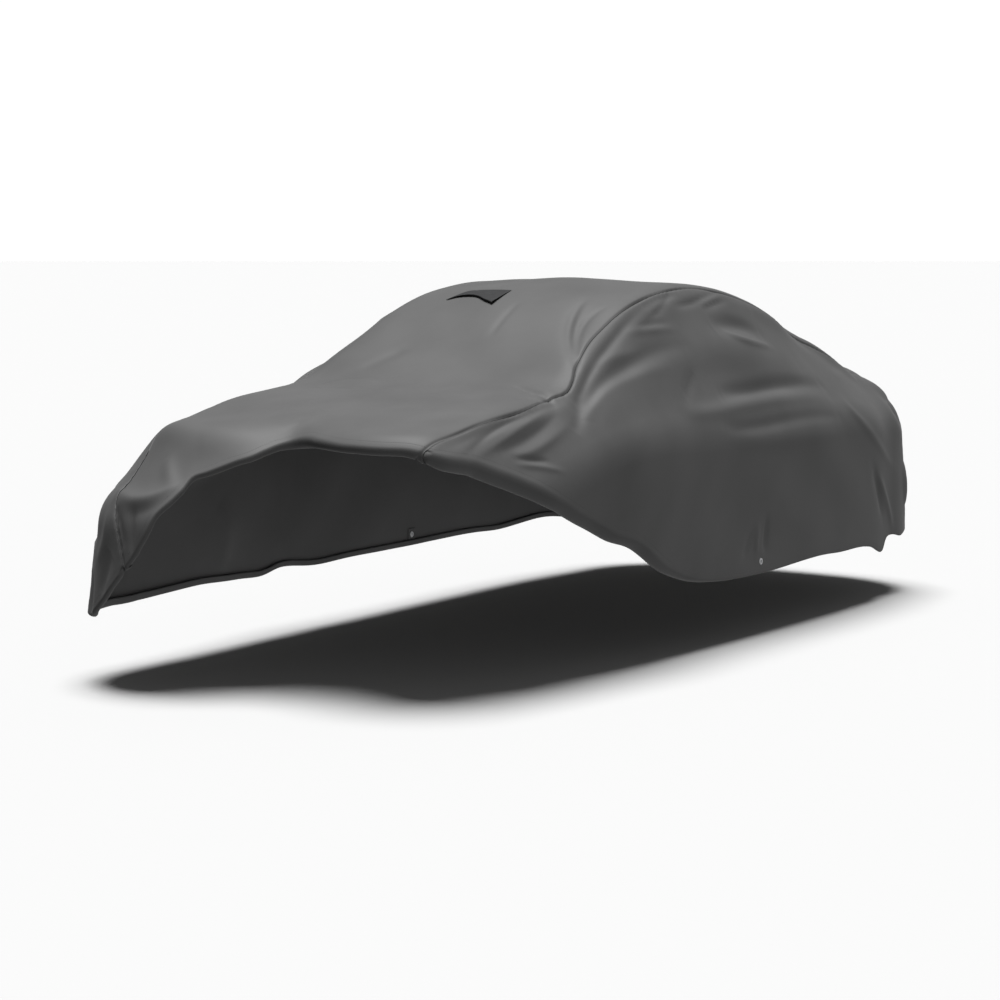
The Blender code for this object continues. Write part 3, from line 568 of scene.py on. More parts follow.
def top_pattern(v, share):
    """Places for the top panel: v from -1 at the right seam to 1 at the left, share from front to rear."""
    front_round = RIGHT_FRONT + (v + 1) / 2 * (FULL_ROUND - RIGHT_FRONT)
    rear_round = RIGHT_REAR + (v + 1) / 2 * (LEFT_REAR - RIGHT_REAR)
    front_across, front_along, _, _ = hem_edge(front_round)
    rear_across, rear_along, _, _ = hem_edge(rear_round)
    along = front_along + (rear_along - front_along) * share
    settled_front = v * seam_across(front_along)
    settled_rear = v * seam_across(rear_along)
    near_front = np.clip(1 - share / FRONT_SETTLE, 0, 1) ** 2
    near_rear = np.clip(1 - (1 - share) / REAR_SETTLE, 0, 1) ** 2
    across = v * seam_across(along)
    across = across + (front_across - settled_front) * near_front
    across = across + (rear_across - settled_rear) * near_rear
    return across, along


# Columns of cells close to a seam, as distances from it, so that its dip and band are modelled.
SEAM_CELLS = np.array((0.0, 0.003, 0.006, 0.009, 0.012, 0.016, 0.022))
HEM_ANGLES = np.radians(np.linspace(15, 180, 12))
HEM_RETURN = (0.006, 0.014, 0.020)


def rolled(across, along, off, roll):
    """The edge as it turns under, out to its end inside: one row of points and of pattern places each."""
    start = drape(across, along)
    outward = normals_of(drape, across, along)
    ahead = drape(across + off[..., 0] * PROBE, along + off[..., 1] * PROBE)
    leaving = ahead - start
    leaving = unit(leaving - np.sum(leaving * outward, axis=-1, keepdims=True) * outward)
    points = []
    places = []
    for angle in HEM_ANGLES:
        points.append(start + roll[..., None] * (np.sin(angle) * leaving - (1 - np.cos(angle)) * outward))
        places.append(paired(across, along) + off * (roll * angle)[..., None])
    for run in HEM_RETURN:
        points.append(points[len(HEM_ANGLES) - 1] - run * leaving)
        places.append(places[len(HEM_ANGLES) - 1] + off * run)
    return points, places


def select_only(piece):
    bpy.ops.object.select_all(action="DESELECT")
    piece.select_set(True)
    bpy.context.view_layer.objects.active = piece


def placed(name, mesh, material):
    """A mesh as a smooth piece of the scene, and the only one selected."""
    mesh.materials.append(material)
    mesh.shade_smooth()
    piece = bpy.data.objects.new(name, mesh)
    bpy.context.scene.collection.objects.link(piece)
    select_only(piece)
    return piece


def apply_modifiers(piece):
    select_only(piece)
    for modifier in list(piece.modifiers):
        bpy.ops.object.modifier_apply(modifier=modifier.name)


def sheet_object(name, points, places, thickness, material):
    """A thin sheet from a grid of points on its outer face, with the pattern places as its UV map."""
    rows, cols = points.shape[:2]
    index = np.arange(rows * cols).reshape(rows, cols)
    corners = (index[:-1, :-1], index[1:, :-1], index[1:, 1:], index[:-1, 1:])
    faces = np.stack([corner.ravel() for corner in corners], axis=1)
    mesh = bpy.data.meshes.new(name)
    mesh.from_pydata(points.reshape(-1, 3).tolist(), [], faces.tolist())
    uv = mesh.uv_layers.new(name="pattern")
    uv.data.foreach_set("uv", places.reshape(-1, 2)[faces.ravel()].ravel())
    sheet = placed(name, mesh, material)
    solid = sheet.modifiers.new("cloth thickness", "SOLIDIFY")
    solid.thickness = thickness
    solid.offset = -1
    apply_modifiers(sheet)
    return sheet


def linear(hex_colour):
    """An sRGB hex value as the linear colour that a shader takes."""
    parts = [int(hex_colour[k:k + 2], 16) / 255 for k in (1, 3, 5)]
    return tuple(p / 12.92 if p <= 0.04045 else ((p + 0.055) / 1.055) ** 2.4 for p in parts) + (1.0,)


def join_node(tree, node, links=(), **settings):
    """Sets a node's own settings and sockets. A link is (own input, from node, its output)."""
    for key, value in settings.items():
        if key in node.inputs:
            node.inputs[key].default_value = value
        else:
            setattr(node, key, value)
    for own, source, output in links:
        tree.links.new(source.outputs[output], node.inputs[own])
    return node


def add_node(tree, kind, links=(), **settings):
    return join_node(tree, tree.nodes.new(kind), links, **settings)


def new_material(name):
    material = bpy.data.materials.new(name)
    material.use_nodes = True
    return material, material.node_tree, material.node_tree.nodes["Principled BSDF"]


# Non-woven polypropylene, spunbonded and hot pressed: a smooth, slightly waxy grey felt with a fine grid of
# bond points, a soft broad highlight and a little fuzz at grazing angles. The bond points are 1.6 mm apart
# on such cloth and are drawn at 4 mm, and its hair-fine fibres at 1.5 mm, as coarse as they need to be to
# show in a close view. Its grey is mottled in patches of about 30 cm.
CLOTH_GREYS = ("#474747", "#4f4f4f")
CLOTH_MOTTLE = (0.3, 0.8)
CLOTH_SATIN = {"To Min": 0.50, "To Max": 0.62}
BOND_PITCH = 0.004
FIBRE_LENGTH = 0.0015


def make_cover_cloth():
    material, tree, shader = new_material("grey non-woven polypropylene")
    pattern = add_node(tree, "ShaderNodeUVMap", uv_map="pattern")
    bonds = add_node(
        tree, "ShaderNodeTexVoronoi", [("Vector", pattern, "UV")], Scale=1 / BOND_PITCH, Randomness=0.15
    )
    fibres = add_node(
        tree, "ShaderNodeTexNoise", [("Vector", pattern, "UV")], Scale=1 / FIBRE_LENGTH, Detail=3.0
    )
    mottle = add_node(tree, "ShaderNodeTexNoise", [("Vector", pattern, "UV")], Scale=3.0, Detail=4.0)
    tone = add_node(tree, "ShaderNodeValToRGB", [("Fac", mottle, "Fac")])
    for stop, place, grey in zip(tone.color_ramp.elements, CLOTH_MOTTLE, CLOTH_GREYS):
        stop.position = place
        stop.color = linear(grey)
    satin = add_node(tree, "ShaderNodeMapRange", [("Value", mottle, "Fac")], **CLOTH_SATIN)
    relief = add_node(tree, "ShaderNodeMath", [(0, bonds, "Distance"), (1, fibres, "Fac")], operation="ADD")
    bump = add_node(tree, "ShaderNodeBump", [("Height", relief, "Value")], Strength=0.25, Distance=0.0004)
    join_node(
        tree, shader,
        [("Base Color", tone, "Color"), ("Roughness", satin, "Result"), ("Normal", bump, "Normal")],
        **{"Specular IOR Level": 0.18, "Sheen Weight": 0.01, "Sheen Roughness": 0.5},
    )
    return material


cover_cloth = make_cover_cloth()

TOP_COLUMNS = 100
TOP_STATIONS = 380
TOP_HALF_WIDTH = 0.62


def seam_spaced(cells, width):
    """Shares from 0 at a seam to 1, with close columns beside the seam."""
    close = SEAM_CELLS / width
    return np.concatenate((close[:-1], np.linspace(close[-1], 1, cells + 1)))


def make_top_panel():
    half = seam_spaced(TOP_COLUMNS // 2, TOP_HALF_WIDTH)
    v_columns = np.concatenate((half - 1, 1 - half[-2::-1]))
    v, share = np.meshgrid(v_columns, stations(TOP_STATIONS), indexing="ij")
    across, along = top_pattern(v, share)
    across[0] += SEAM_GAP / 2
    across[-1] -= SEAM_GAP / 2
    edges = []
    for end, right, left in ((0, RIGHT_FRONT, FULL_ROUND), (-1, RIGHT_REAR, LEFT_REAR)):
        _, _, off, roll = hem_edge(right + (v[:, end] + 1) / 2 * (left - right))
        edges.append([np.stack(rows, axis=1) for rows in rolled(across[:, end], along[:, end], off, roll)])
    faces = (drape(across, along), paired(across, along))
    points, places = [
        np.concatenate((front[:, ::-1], face, rear), axis=1)
        for front, face, rear in zip(edges[0], faces, edges[1])
    ]
    return sheet_object("top_panel_cloth", points, places, CLOTH, cover_cloth)


top_panel = make_top_panel()
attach(top_panel, "root")
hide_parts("top_panel")


# ------------------------------------------------------------
# Side panels: the same grey cloth, one cut for each side, sewn on below the roof seam. The left one is
# pulled back and up at the front, where its edge rolls under in a wide soft curl.
# ------------------------------------------------------------

SIDES = (("left", 1), ("right", -1))
SIDE_CELLS = {"left": 100, "right": 76}
SIDE_STATIONS = {"left": 380, "right": 340}

# The side panel's edge laps under the top panel's. Columns: distance past the seam, depth under the
# cloth's outer face.
SEAM_LAP = np.array((
    (-0.0080, 0.0025),
    (-0.0020, 0.0025),
    (0.0004, 0.0023),
))
LAP_RISE = 0.0022


def raised(across, along, height):
    """Points at a height over the cloth's outer face."""
    return drape(across, along) + height * normals_of(drape, across, along)


def side_pattern(side, u, share):
    """Places for a side panel: u from 0 at the roof seam to 1 at the hem, share from front to rear."""
    table, rows_round = (HEM_LEFT, LEFT_ROUND) if side > 0 else (HEM_RIGHT[::-1], RIGHT_ROUND[::-1])
    top_across, top_along = top_pattern(np.full_like(share, float(side)), share)
    seam_places = column(table, HEM_COLUMNS, "seam").copy()
    seam_places[[0, -1]] = top_along[0, [0, -1]]
    distance = np.interp(top_along, seam_places, rows_round)
    distance = np.clip(distance, rows_round.min() + TIP, rows_round.max() - TIP)
    hem_across, hem_along, _, _ = hem_edge(distance)
    across = top_across + (hem_across - top_across) * u
    along = top_along + (hem_along - top_along) * u
    return across, along, distance


def make_side_panel(hand, side):
    u, share = np.meshgrid(
        seam_spaced(SIDE_CELLS[hand], 1.0), stations(SIDE_STATIONS[hand]), indexing="ij"
    )
    across, along, distance = side_pattern(side, u, share)
    lap_across = across[0] + side * SEAM_LAP[:, :1]
    lap_along = np.broadcast_to(along[0], lap_across.shape)
    lap = raised(lap_across, lap_along, -SEAM_LAP[:, 1:, None])
    across[0] += side * LAP_RISE
    _, _, off, roll = hem_edge(distance[-1])
    rows, where = rolled(across[-1], along[-1], off, roll)
    points = np.concatenate((lap, drape(across, along), rows))[::side]
    places = np.concatenate((paired(lap_across, lap_along), paired(across, along), where))[::side]
    return sheet_object("side_panel_%s_cloth" % hand, points, places, CLOTH, cover_cloth)


side_panels = {}
for hand, side in SIDES:
    panel = make_side_panel(hand, side)
    side_panels[hand] = panel
    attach(panel, "root")
    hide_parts("side_panel_" + hand)


# ------------------------------------------------------------
# Vent net: a strip of black polyester net, warp-knitted with small round holes, that closes the opening
# under the hood. It lies flat on the top panel and is sewn down all round.
# ------------------------------------------------------------

# The hood's outline on the pattern, from its pointed end to its wide end, and how far its front edge
# stands off the cloth. It falls back to the cloth towards the rear.
VENT_COLUMNS = ("across", "front", "rear", "lift")
VENT = np.array((
    (-0.315, 1.098, 1.118, 0.003),
    (-0.285, 1.122, 1.196, 0.006),
    (-0.225, 1.130, 1.213, 0.009),
    (-0.165, 1.113, 1.207, 0.010),
    (-0.095, 1.065, 1.195, 0.011),
    (-0.035, 1.030, 1.182, 0.011),
))
VENT_CURL = 1.3
LAY_GAP = 0.0006
NET_THICK = 0.0008
NET_SPAN = (0.14, 0.97)
NET_DEPTH = (0.03, 0.62)
NET_CELLS = (60, 16)


def vent_place(u, v):
    """Pattern place and lift of the vent hood: u from its tip to its wide end, v from front to rear."""
    rows = [column(VENT, VENT_COLUMNS, name) for name in VENT_COLUMNS]
    spread = (rows[0] - rows[0][0]) / (rows[0][-1] - rows[0][0])
    across, front, rear, lift = [smooth_between(spread, row, u) for row in rows]
    return across, front + (rear - front) * v, lift * (1 - v) ** VENT_CURL


# A knitted net is drawn as a grid of round holes 3 mm apart, the pitch of the real one. Each hole is set in
# and painted near-black as painted shade seen through it. The threads between are a dark grey, partly their
# own colour and partly a painted sheen.
NET_PITCH = 0.003
NET_HOLE_SHADE_AND_THREAD_GREYS = ("#050505", "#2b2b2d")
NET_HOLE_EDGE = (0.30, 0.42)


def make_vent_net_material():
    material, tree, shader = new_material("black knitted polyester net")
    pattern = add_node(tree, "ShaderNodeUVMap", uv_map="pattern")
    holes = add_node(
        tree, "ShaderNodeTexVoronoi", [("Vector", pattern, "UV")], Scale=1 / NET_PITCH, Randomness=0.1
    )
    # Painted shade and sheen: near-black in the holes for the shade seen through them, and a lighter grey
    # on the threads, partly their own colour and partly a painted sheen.
    edge = add_node(tree, "ShaderNodeValToRGB", [("Fac", holes, "Distance")])
    for stop, place, grey in zip(edge.color_ramp.elements, NET_HOLE_EDGE, NET_HOLE_SHADE_AND_THREAD_GREYS):
        stop.position = place
        stop.color = linear(grey)
    bump = add_node(tree, "ShaderNodeBump", [("Height", holes, "Distance")], Strength=0.6, Distance=0.0006)
    join_node(tree, shader, [("Base Color", edge, "Color"), ("Normal", bump, "Normal")], Roughness=0.75)
    return material


def make_vent_net():
    u, v = np.meshgrid(
        np.linspace(*NET_SPAN, NET_CELLS[0] + 1), np.linspace(*NET_DEPTH, NET_CELLS[1] + 1), indexing="ij"
    )
    across, along, _ = vent_place(u, v)
    points = raised(across, along, LAY_GAP + NET_THICK)
    places = paired(across, along)
    return sheet_object("vent_net_cloth", points, places, NET_THICK, make_vent_net_material())


vent_net = make_vent_net()
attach(vent_net, "root")
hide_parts("vent_mesh")


# ------------------------------------------------------------
# Vent hood: a pocket of darker polyester cloth, woven and coated, sewn to the top panel along its rear
# edge and its ends. Its front edge is bound and stands open, so that the wind can get out.
# ------------------------------------------------------------

# The hood's open edge turns under around a binding, whose radius is one part in HOOD_GAP_PARTS of the gap
# below it, and goes on inside by HOOD_HEM times that radius. Two soft ripples run back from the edge,
# weaker where the hood stands lower than HOOD_FULL_LIFT.
HOOD_CLOTH = 0.0009
HOOD_SEAT = 0.0015
HOOD_CELLS = (96, 30)
HOOD_CROWDING = 1.15
HOOD_BINDING = 0.0035
HOOD_GAP_PARTS = 3
HOOD_ANGLES = np.radians((30, 60, 90, 120, 150, 180))
HOOD_HEM = 3
HOOD_HEM_PLACE = 0.008
HOOD_SAG = 0.0025
HOOD_RIPPLE_RATE = 7.5
HOOD_RIPPLE_PHASE = 0.6
HOOD_RIPPLE_START = 0.35
HOOD_FULL_LIFT = 0.01


def hood_points(u, v):
    """Points of the hood's outer face."""
    across, along, lift = vent_place(u, v)
    wave = np.sin(HOOD_RIPPLE_RATE * u + HOOD_RIPPLE_PHASE) * np.sin(np.pi * u)
    ripple = HOOD_SAG * wave * (1 - v) * np.clip(v + HOOD_RIPPLE_START, 0, 1)
    height = LAY_GAP + HOOD_SEAT + lift + ripple * np.clip(lift / HOOD_FULL_LIFT, 0, 1)
    return raised(across, along, height[..., None])


# A plain weave of thick polyester yarn, coated on its back: about 20 threads to the centimetre. The
# threads are drawn about 3 mm apart, as coarse as they need to be to show.
HOOD_GREYS = ("#222223", "#292a2b")
HOOD_MOTTLE = (0.35, 0.75)
THREAD_PITCH = 0.003


def make_hood_material():
    material, tree, shader = new_material("dark grey woven polyester")
    pattern = add_node(tree, "ShaderNodeUVMap", uv_map="pattern")
    warp, weft = [
        add_node(
            tree, "ShaderNodeTexWave", [("Vector", pattern, "UV")], Scale=1 / np.pi / THREAD_PITCH,
            bands_direction=direction,
        )
        for direction in "XY"
    ]
    weave = add_node(tree, "ShaderNodeMath", [(0, warp, "Fac"), (1, weft, "Fac")], operation="MAXIMUM")
    mottle = add_node(tree, "ShaderNodeTexNoise", [("Vector", pattern, "UV")], Scale=40.0, Detail=3.0)
    tone = add_node(tree, "ShaderNodeValToRGB", [("Fac", mottle, "Fac")])
    for stop, place, grey in zip(tone.color_ramp.elements, HOOD_MOTTLE, HOOD_GREYS):
        stop.position = place
        stop.color = linear(grey)
    bump = add_node(tree, "ShaderNodeBump", [("Height", weave, "Value")], Strength=0.35, Distance=0.0003)
    join_node(
        tree, shader, [("Base Color", tone, "Color"), ("Normal", bump, "Normal")],
        **{"Roughness": 0.72, "Specular IOR Level": 0.15},
    )
    return material


def make_vent_hood():
    u, v = np.meshgrid(
        np.linspace(0, 1, HOOD_CELLS[0] + 1), np.linspace(0, 1, HOOD_CELLS[1] + 1) ** HOOD_CROWDING,
        indexing="ij",
    )
    across, along, lift = vent_place(u, v)
    face = hood_points(u, v)
    leaving = unit(face[:, 0] - face[:, 1])
    outward = unit(np.cross(leaving, np.gradient(face[:, 0], axis=0)))
    outward = outward * np.sign(outward[:, 2:3])
    room = np.clip(lift[:, :1] / HOOD_GAP_PARTS, LAY_GAP, HOOD_BINDING)
    rows = []
    places = []
    for angle in HOOD_ANGLES:
        rows.insert(0, face[:, 0] + room * (np.sin(angle) * leaving - (1 - np.cos(angle)) * outward))
        places.insert(0, paired(across[:, 0], along[:, 0] - HOOD_BINDING * angle))
    rows.insert(0, rows[0] - HOOD_HEM * room * leaving)
    places.insert(0, places[0] - np.array((0.0, HOOD_HEM_PLACE)))
    points = np.concatenate((np.stack(rows, axis=1), face), axis=1)
    places = np.concatenate((np.stack(places, axis=1), paired(across, along)), axis=1)
    return sheet_object("vent_hood_cloth", points, places, HOOD_CLOTH, make_hood_material())


vent_hood = make_vent_hood()
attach(vent_hood, "root")
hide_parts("vent_hood")


# ------------------------------------------------------------
# Eyelet patches: squares of the cover's own cloth, sewn behind the eyelets so that the pull of a tie-down
# cord doesn't tear the side panels. Each is sewn on along its edges, inside the cover.
# ------------------------------------------------------------

EYELET_ACROSS = 1.829
EYELET_ALONG = 1.686
EYELET_OUTER = 0.014
EYELET_BARREL = 0.0085
PATCH_SIDE = 0.056
PATCH_CELLS = 28
CUTTER_DEPTH = 0.04
CUTTER_SIDES = 48


def eyelet_frame(side):
    """Where an eyelet sits on the cloth's outer face, turned so that its axis is the cloth's normal."""
    across = np.array(side * EYELET_ACROSS)
    along = np.array(EYELET_ALONG)
    point = Vector(drape(across, along))
    outward = Vector(normals_of(drape, across, along, EYELET_OUTER))
    turn = outward.to_track_quat("Z", "Y").to_matrix().to_4x4()
    return Matrix.Translation(point) @ turn


def make_patch(hand, side):
    spread = np.linspace(-PATCH_SIDE / 2, PATCH_SIDE / 2, PATCH_CELLS + 1)
    across, along = np.meshgrid(side * EYELET_ACROSS + spread, EYELET_ALONG + spread, indexing="ij")
    points = raised(across, along, -(CLOTH + LAY_GAP))
    return sheet_object("eyelet_patch_%s_cloth" % hand, points, paired(across, along), CLOTH, cover_cloth)


def bore_eyelet(piece, side):
    """A round hole for the eyelet's barrel."""
    bpy.ops.object.select_all(action="DESELECT")
    bpy.ops.mesh.primitive_cylinder_add(vertices=CUTTER_SIDES, radius=EYELET_BARREL, depth=CUTTER_DEPTH)
    cutter = bpy.context.active_object
    cutter.matrix_world = eyelet_frame(side)
    bore = piece.modifiers.new("eyelet bore", "BOOLEAN")
    bore.operation = "DIFFERENCE"
    bore.solver = "EXACT"
    bore.object = cutter
    apply_modifiers(piece)
    bpy.data.objects.remove(cutter, do_unlink=True)


for hand, side in SIDES:
    patch = make_patch(hand, side)
    bore_eyelet(patch, side)
    bore_eyelet(side_panels[hand], side)
    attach(patch, "root")
    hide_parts("eyelet_patch_" + hand)


# ------------------------------------------------------------
# Eyelets: two-part grommets of pale grey nylon, moulded, with rounded flanges. The barrel goes through
# panel and patch, and the washer inside is pressed on to it, which clamps the cloth.
# ------------------------------------------------------------

EYELET_BORE = 0.0065
EYELET_FLANGE = 0.0012
EYELET_STEPS = 64
EYELET_ROUNDING = 0.0005
EYELET_MERGE = 0.00002

# The eyelet's section, from the bore over the upper flange, down the barrel and back over the washer.
# Columns: radius, roundings added to it, level, roundings added to it.
EYELET_SECTION = (
    ("bore", 0.0, "top", -0.8),
    ("bore", 0.6, "top", 0.2),
    ("bore", 2.5, "top", 0.9),
    ("outer", -2.5, "top", 0.5),
    ("outer", -0.6, "top", -0.3),
    ("outer", 0.0, "top", -1.0),
    ("outer", 0.0, "under", 0.3),
    ("outer", -0.5, "under", 0.0),
    ("barrel", 0.0, "under", 0.0),
    ("barrel", 0.0, "inside", 0.0),
    ("outer", -0.5, "inside", 0.0),
    ("outer", 0.0, "inside", -0.3),
    ("outer", 0.0, "bottom", 1.0),
    ("outer", -0.6, "bottom", 0.2),
    ("bore", 0.6, "bottom", 0.0),
    ("bore", 0.0, "bottom", 0.8),
)
EYELET_RADII = {"bore": EYELET_BORE, "outer": EYELET_OUTER, "barrel": EYELET_BARREL - LAY_GAP}
EYELET_LEVELS = {
    "top": LAY_GAP + EYELET_FLANGE,
    "under": LAY_GAP,
    "inside": -2 * CLOTH - 2 * LAY_GAP,
    "bottom": -2 * CLOTH - 2 * LAY_GAP - EYELET_FLANGE,
}

# Moulded nylon is smooth and slightly translucent, with a broad satin highlight. The fine bump is the
# spark-eroded grain of its mould, 0.3 mm in pitch and drawn as it is.
NYLON_GREY = "#b4b5b7"


def make_nylon():
    material, tree, shader = new_material("pale grey moulded nylon")
    place = add_node(tree, "ShaderNodeTexCoord")
    grain = add_node(tree, "ShaderNodeTexNoise", [("Vector", place, "Object")], Scale=3000.0, Detail=2.0)
    bump = add_node(tree, "ShaderNodeBump", [("Height", grain, "Fac")], Strength=0.2, Distance=0.0001)
    join_node(
        tree, shader, [("Normal", bump, "Normal")],
        **{"Base Color": linear(NYLON_GREY), "Roughness": 0.38, "IOR": 1.53},
    )
    return material


def make_eyelet(hand, side, material):
    corners = [
        (EYELET_RADII[radius] + out * EYELET_ROUNDING, 0.0, EYELET_LEVELS[level] + up * EYELET_ROUNDING)
        for radius, out, level, up in EYELET_SECTION
    ]
    mesh = bpy.data.meshes.new("eyelet_%s_ring" % hand)
    mesh.from_pydata(corners, [(k, (k + 1) % len(corners)) for k in range(len(corners))], [])
    ring = placed(mesh.name, mesh, material)
    bpy.ops.object.mode_set(mode="EDIT")
    bpy.ops.mesh.select_all(action="SELECT")
    bpy.ops.mesh.spin(steps=EYELET_STEPS, angle=2 * np.pi, center=(0, 0, 0), axis=(0, 0, 1))
    bpy.ops.mesh.select_all(action="SELECT")
    bpy.ops.mesh.remove_doubles(threshold=EYELET_MERGE)
    bpy.ops.mesh.normals_make_consistent(inside=False)
    bpy.ops.object.mode_set(mode="OBJECT")
    mesh.transform(eyelet_frame(side))
    mesh.shade_smooth()
    return ring


nylon = make_nylon()
for hand, side in SIDES:
    ring = make_eyelet(hand, side, nylon)
    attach(ring, "root")
    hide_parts("eyelet_" + hand)


# ------------------------------------------------------------
# Stitching: rows of lockstitch in grey polyester thread, 9 mm apart as on heavy covers. One row holds the
# flat seam on each side, and one holds the turned-under hem all the way round.
# ------------------------------------------------------------

STITCH_PITCH = 0.009
STITCH_LENGTH = 0.0068
STITCH_WIDTH = 0.0013
STITCH_SINK = 0.0002
SEAM_STITCH_IN = 0.0075
SEAM_STITCH_ENDS = (0.003, 0.997)
SEAM_STITCH_STEPS = 1500
HEM_STITCH_IN = 0.018
HEM_STITCH_STEPS = 4000

# A stitch's rings of corners, from end to end. Columns: share of its length from the middle, size, and how
# far its centre is raised, both as shares of half its width.
STITCH_ANGLES = np.radians((0, 60, 120, 180, 240, 300))
STITCH_RINGS = (
    (-0.5, 0.25, -0.9),
    (-0.36, 0.85, -0.1),
    (0.0, 1.0, 0.25),
    (0.36, 0.85, -0.1),
    (0.5, 0.25, -0.9),
)

# Spun polyester thread: two plies twisted together, in the cloth's own grey and duller than the cloth. The
# twist is drawn as slanting bands about 2 mm apart, as coarse as they need to be to show.
THREAD_GREY = "#4a4a4a"


def make_thread():
    material, tree, shader = new_material("grey spun polyester thread")
    place = add_node(tree, "ShaderNodeTexCoord")
    twist = add_node(
        tree, "ShaderNodeTexWave", [("Vector", place, "Object")], Scale=160.0, bands_direction="DIAGONAL"
    )
    bump = add_node(tree, "ShaderNodeBump", [("Height", twist, "Fac")], Strength=0.4, Distance=0.0002)
    join_node(
        tree, shader, [("Normal", bump, "Normal")], **{"Base Color": linear(THREAD_GREY), "Roughness": 0.7}
    )
    return material


def stitch_row(across, along):
    """Places and directions of stitches along a path on the pattern."""
    points = drape(across, along)
    strides = np.linalg.norm(np.diff(points, axis=0), axis=1)
    run = np.concatenate(([0.0], np.cumsum(strides)))
    count = int(run[-1] / STITCH_PITCH)
    middles = (np.arange(count) + 0.5) * STITCH_PITCH
    rows = []
    for shift in (0.0, -STITCH_LENGTH / 2, STITCH_LENGTH / 2):
        at = [np.interp(middles + shift, run, values) for values in (across, along)]
        rows.append((drape(*at), at))
    (middle, at), (start, _), (end, _) = rows
    return middle, end - start, normals_of(drape, *at)


def make_stitching(name, rows, material):
    """Every stitch is a low tube with closed, sunken ends, lying on the cloth along its row."""
    points = []
    faces = []
    count = len(STITCH_ANGLES)
    for middle, span, outward in rows:
        for place, run, up, side in zip(middle, span, outward, unit(np.cross(outward, span))):
            first = len(points)
            last = first + count * (len(STITCH_RINGS) - 1)
            for share, size, lift in STITCH_RINGS:
                centre = place + share * run + (lift * STITCH_WIDTH / 2 - STITCH_SINK) * up
                for angle in STITCH_ANGLES:
                    ring = np.cos(angle) * side + np.sin(angle) * up
                    points.append(centre + size * STITCH_WIDTH / 2 * ring)
            for low in range(first, last, count):
                high = low + count
                for m in range(count):
                    n = (m + 1) % count
                    faces.append((low + m, low + n, high + n, high + m))
            faces.append(tuple(range(first + count - 1, first - 1, -1)))
            faces.append(tuple(range(last, last + count)))
    mesh = bpy.data.meshes.new(name)
    mesh.from_pydata([tuple(point) for point in points], [], faces)
    stitching = placed(name, mesh, material)
    bpy.ops.object.mode_set(mode="EDIT")
    bpy.ops.mesh.select_all(action="SELECT")
    bpy.ops.mesh.normals_make_consistent(inside=False)
    bpy.ops.object.mode_set(mode="OBJECT")
    return stitching


def make_all_stitching():
    thread = make_thread()
    share = np.linspace(*SEAM_STITCH_ENDS, SEAM_STITCH_STEPS)
    seam_rows = []
    for _, side in SIDES:
        across, along = top_pattern(np.full_like(share, float(side)), share)
        seam_rows.append(stitch_row(across + side * SEAM_STITCH_IN, along))
    hem_round = np.linspace(0, FULL_ROUND, HEM_STITCH_STEPS)
    across, along, off, _ = hem_edge(hem_round)
    hem_row = stitch_row(across - off[:, 0] * HEM_STITCH_IN, along - off[:, 1] * HEM_STITCH_IN)
    return (
        make_stitching("seam_stitching", seam_rows, thread),
        make_stitching("hem_stitching", [hem_row], thread),
    )


for stitching in make_all_stitching():
    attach(stitching, "root")


# ------------------------------------------------------------
# Stage: a plain pale floor at the height of the ground, soft light from above and the camera at the
# photograph's angle.
# ------------------------------------------------------------

FLOOR_SIZE = 400.0
FLOOR_GREY = "#acacac"
OVERHEAD_STRENGTH = 6.9
OVERHEAD_SPREAD = np.radians(36)
OVERHEAD_LEAN = (np.radians(-4), np.radians(-5))
ROOM_BRIGHTNESS = 1.03
ROOM_BELOW = 0.62
ROOM_ABOVE = 0.16
ROOM_EDGE = (-0.04, -0.02, 0.10, 0.24)
ROOM_FAR_WAY = (-0.8, -0.6, 0.0)
ROOM_FAR_SPREAD = (0.20, 0.75)
ROOM_FAR_SIDE = 0.28
CAMERA_TARGET = Vector((0.014, 1.014, 0.6)) - Vector(SUPPORT)
CAMERA_AZIMUTH = np.radians(32.68)
CAMERA_ELEVATION = np.radians(6.01)
CAMERA_DISTANCE = 10.477
CAMERA_LENS = 88.87

bpy.ops.object.select_all(action="DESELECT")
bpy.ops.mesh.primitive_plane_add(size=FLOOR_SIZE, location=(0, 0, -SUPPORT[2]))
floor = bpy.context.active_object
floor.name = "floor"
floor_paint, floor_tree, floor_shader = new_material("pale studio floor")
floor_finish = {"Base Color": linear(FLOOR_GREY), "Roughness": 1.0, "Specular IOR Level": 0.0}
join_node(floor_tree, floor_shader, **floor_finish)
floor.data.materials.append(floor_paint)
floor.visible_diffuse = False
floor.visible_glossy = False

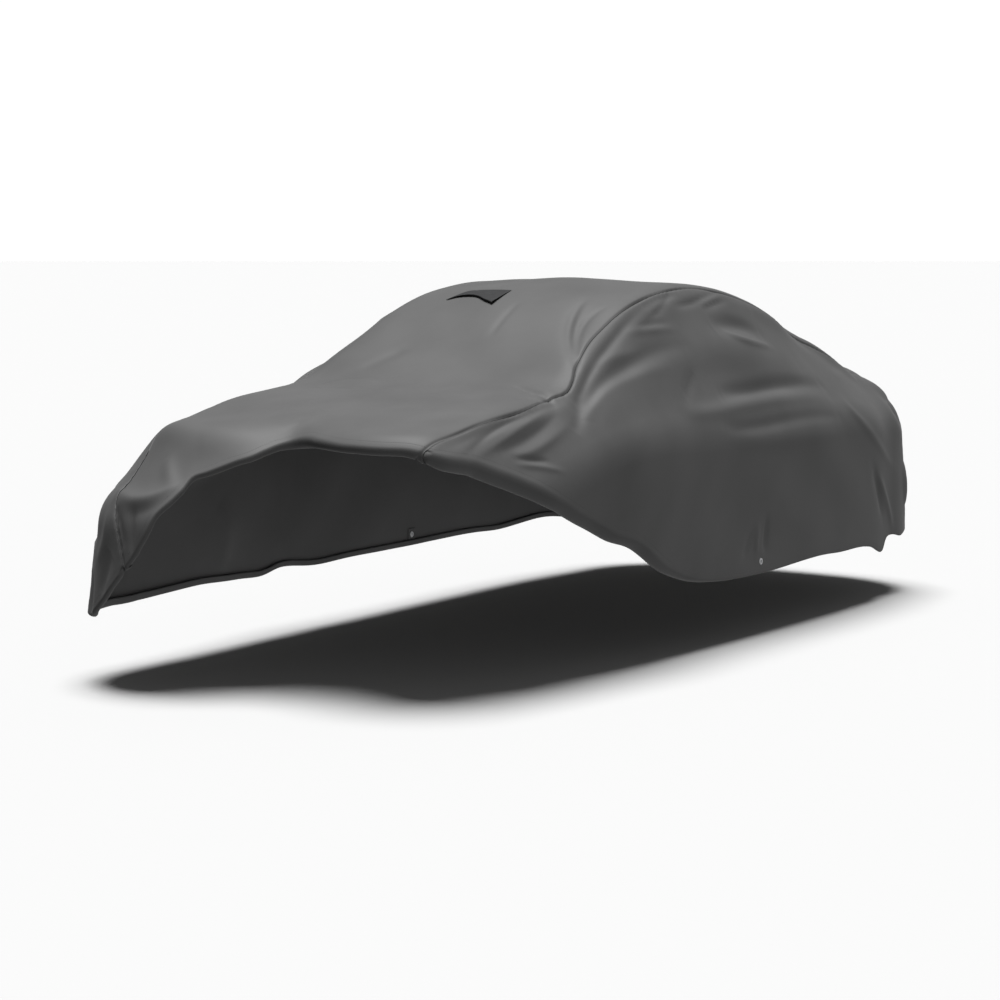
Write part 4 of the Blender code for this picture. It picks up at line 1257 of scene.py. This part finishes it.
# The room is white at the level of the eye, and dim above, below and towards the far front. The floor
# gives the cover no light of its own, which keeps the hanging sides as deep in tone as black boards beside
# them would. ROOM_EDGE gives heights on the room's round wall, from -1 below to 1 above.
world = bpy.data.worlds.new("studio")
bpy.context.scene.world = world
world.use_nodes = True
room = world.node_tree
way = add_node(room, "ShaderNodeTexCoord")
height = add_node(room, "ShaderNodeSeparateXYZ", [("Vector", way, "Generated")])
level = add_node(room, "ShaderNodeMapRange", [("Value", height, "Z")], **{"From Min": -1.0})
shine = add_node(room, "ShaderNodeValToRGB", [("Fac", level, "Result")])
stops = shine.color_ramp.elements
for place, grey in zip(ROOM_EDGE, (ROOM_BELOW, 1.0, 1.0, ROOM_ABOVE)):
    stop = stops.new((place + 1) / 2)
    stop.color = (grey, grey, grey, 1.0)
stops.remove(stops[-1])
stops.remove(stops[0])
towards_far = add_node(room, "ShaderNodeVectorMath", [(0, way, "Generated")], operation="DOT_PRODUCT")
towards_far.inputs[1].default_value = ROOM_FAR_WAY
spread = dict(zip(("From Min", "From Max", "To Min", "To Max"), (*ROOM_FAR_SPREAD, 1.0, ROOM_FAR_SIDE)))
far_side = add_node(room, "ShaderNodeMapRange", [("Value", towards_far, "Value")], **spread)
light = add_node(
    room, "ShaderNodeVectorMath", [(0, shine, "Color"), (1, far_side, "Result")], operation="MULTIPLY"
)
join_node(room, room.nodes["Background"], [("Color", light, "Vector")], Strength=ROOM_BRIGHTNESS)

bpy.ops.object.light_add(type="SUN", rotation=(*OVERHEAD_LEAN, 0))
key = bpy.context.active_object
key.name = "overhead light"
key.data.energy = OVERHEAD_STRENGTH
key.data.angle = OVERHEAD_SPREAD

back = Vector((
    np.sin(CAMERA_AZIMUTH) * np.cos(CAMERA_ELEVATION),
    -np.cos(CAMERA_AZIMUTH) * np.cos(CAMERA_ELEVATION),
    np.sin(CAMERA_ELEVATION),
))
bpy.ops.object.camera_add(location=CAMERA_TARGET + back * CAMERA_DISTANCE)
camera = bpy.context.active_object
camera.rotation_mode = "QUATERNION"
camera.rotation_quaternion = (-back).to_track_quat("-Z", "Y")
camera.data.lens = CAMERA_LENS
camera.data.clip_end = 200.0
bpy.context.scene.camera = camera
bpy.context.scene.view_settings.view_transform = "Standard"
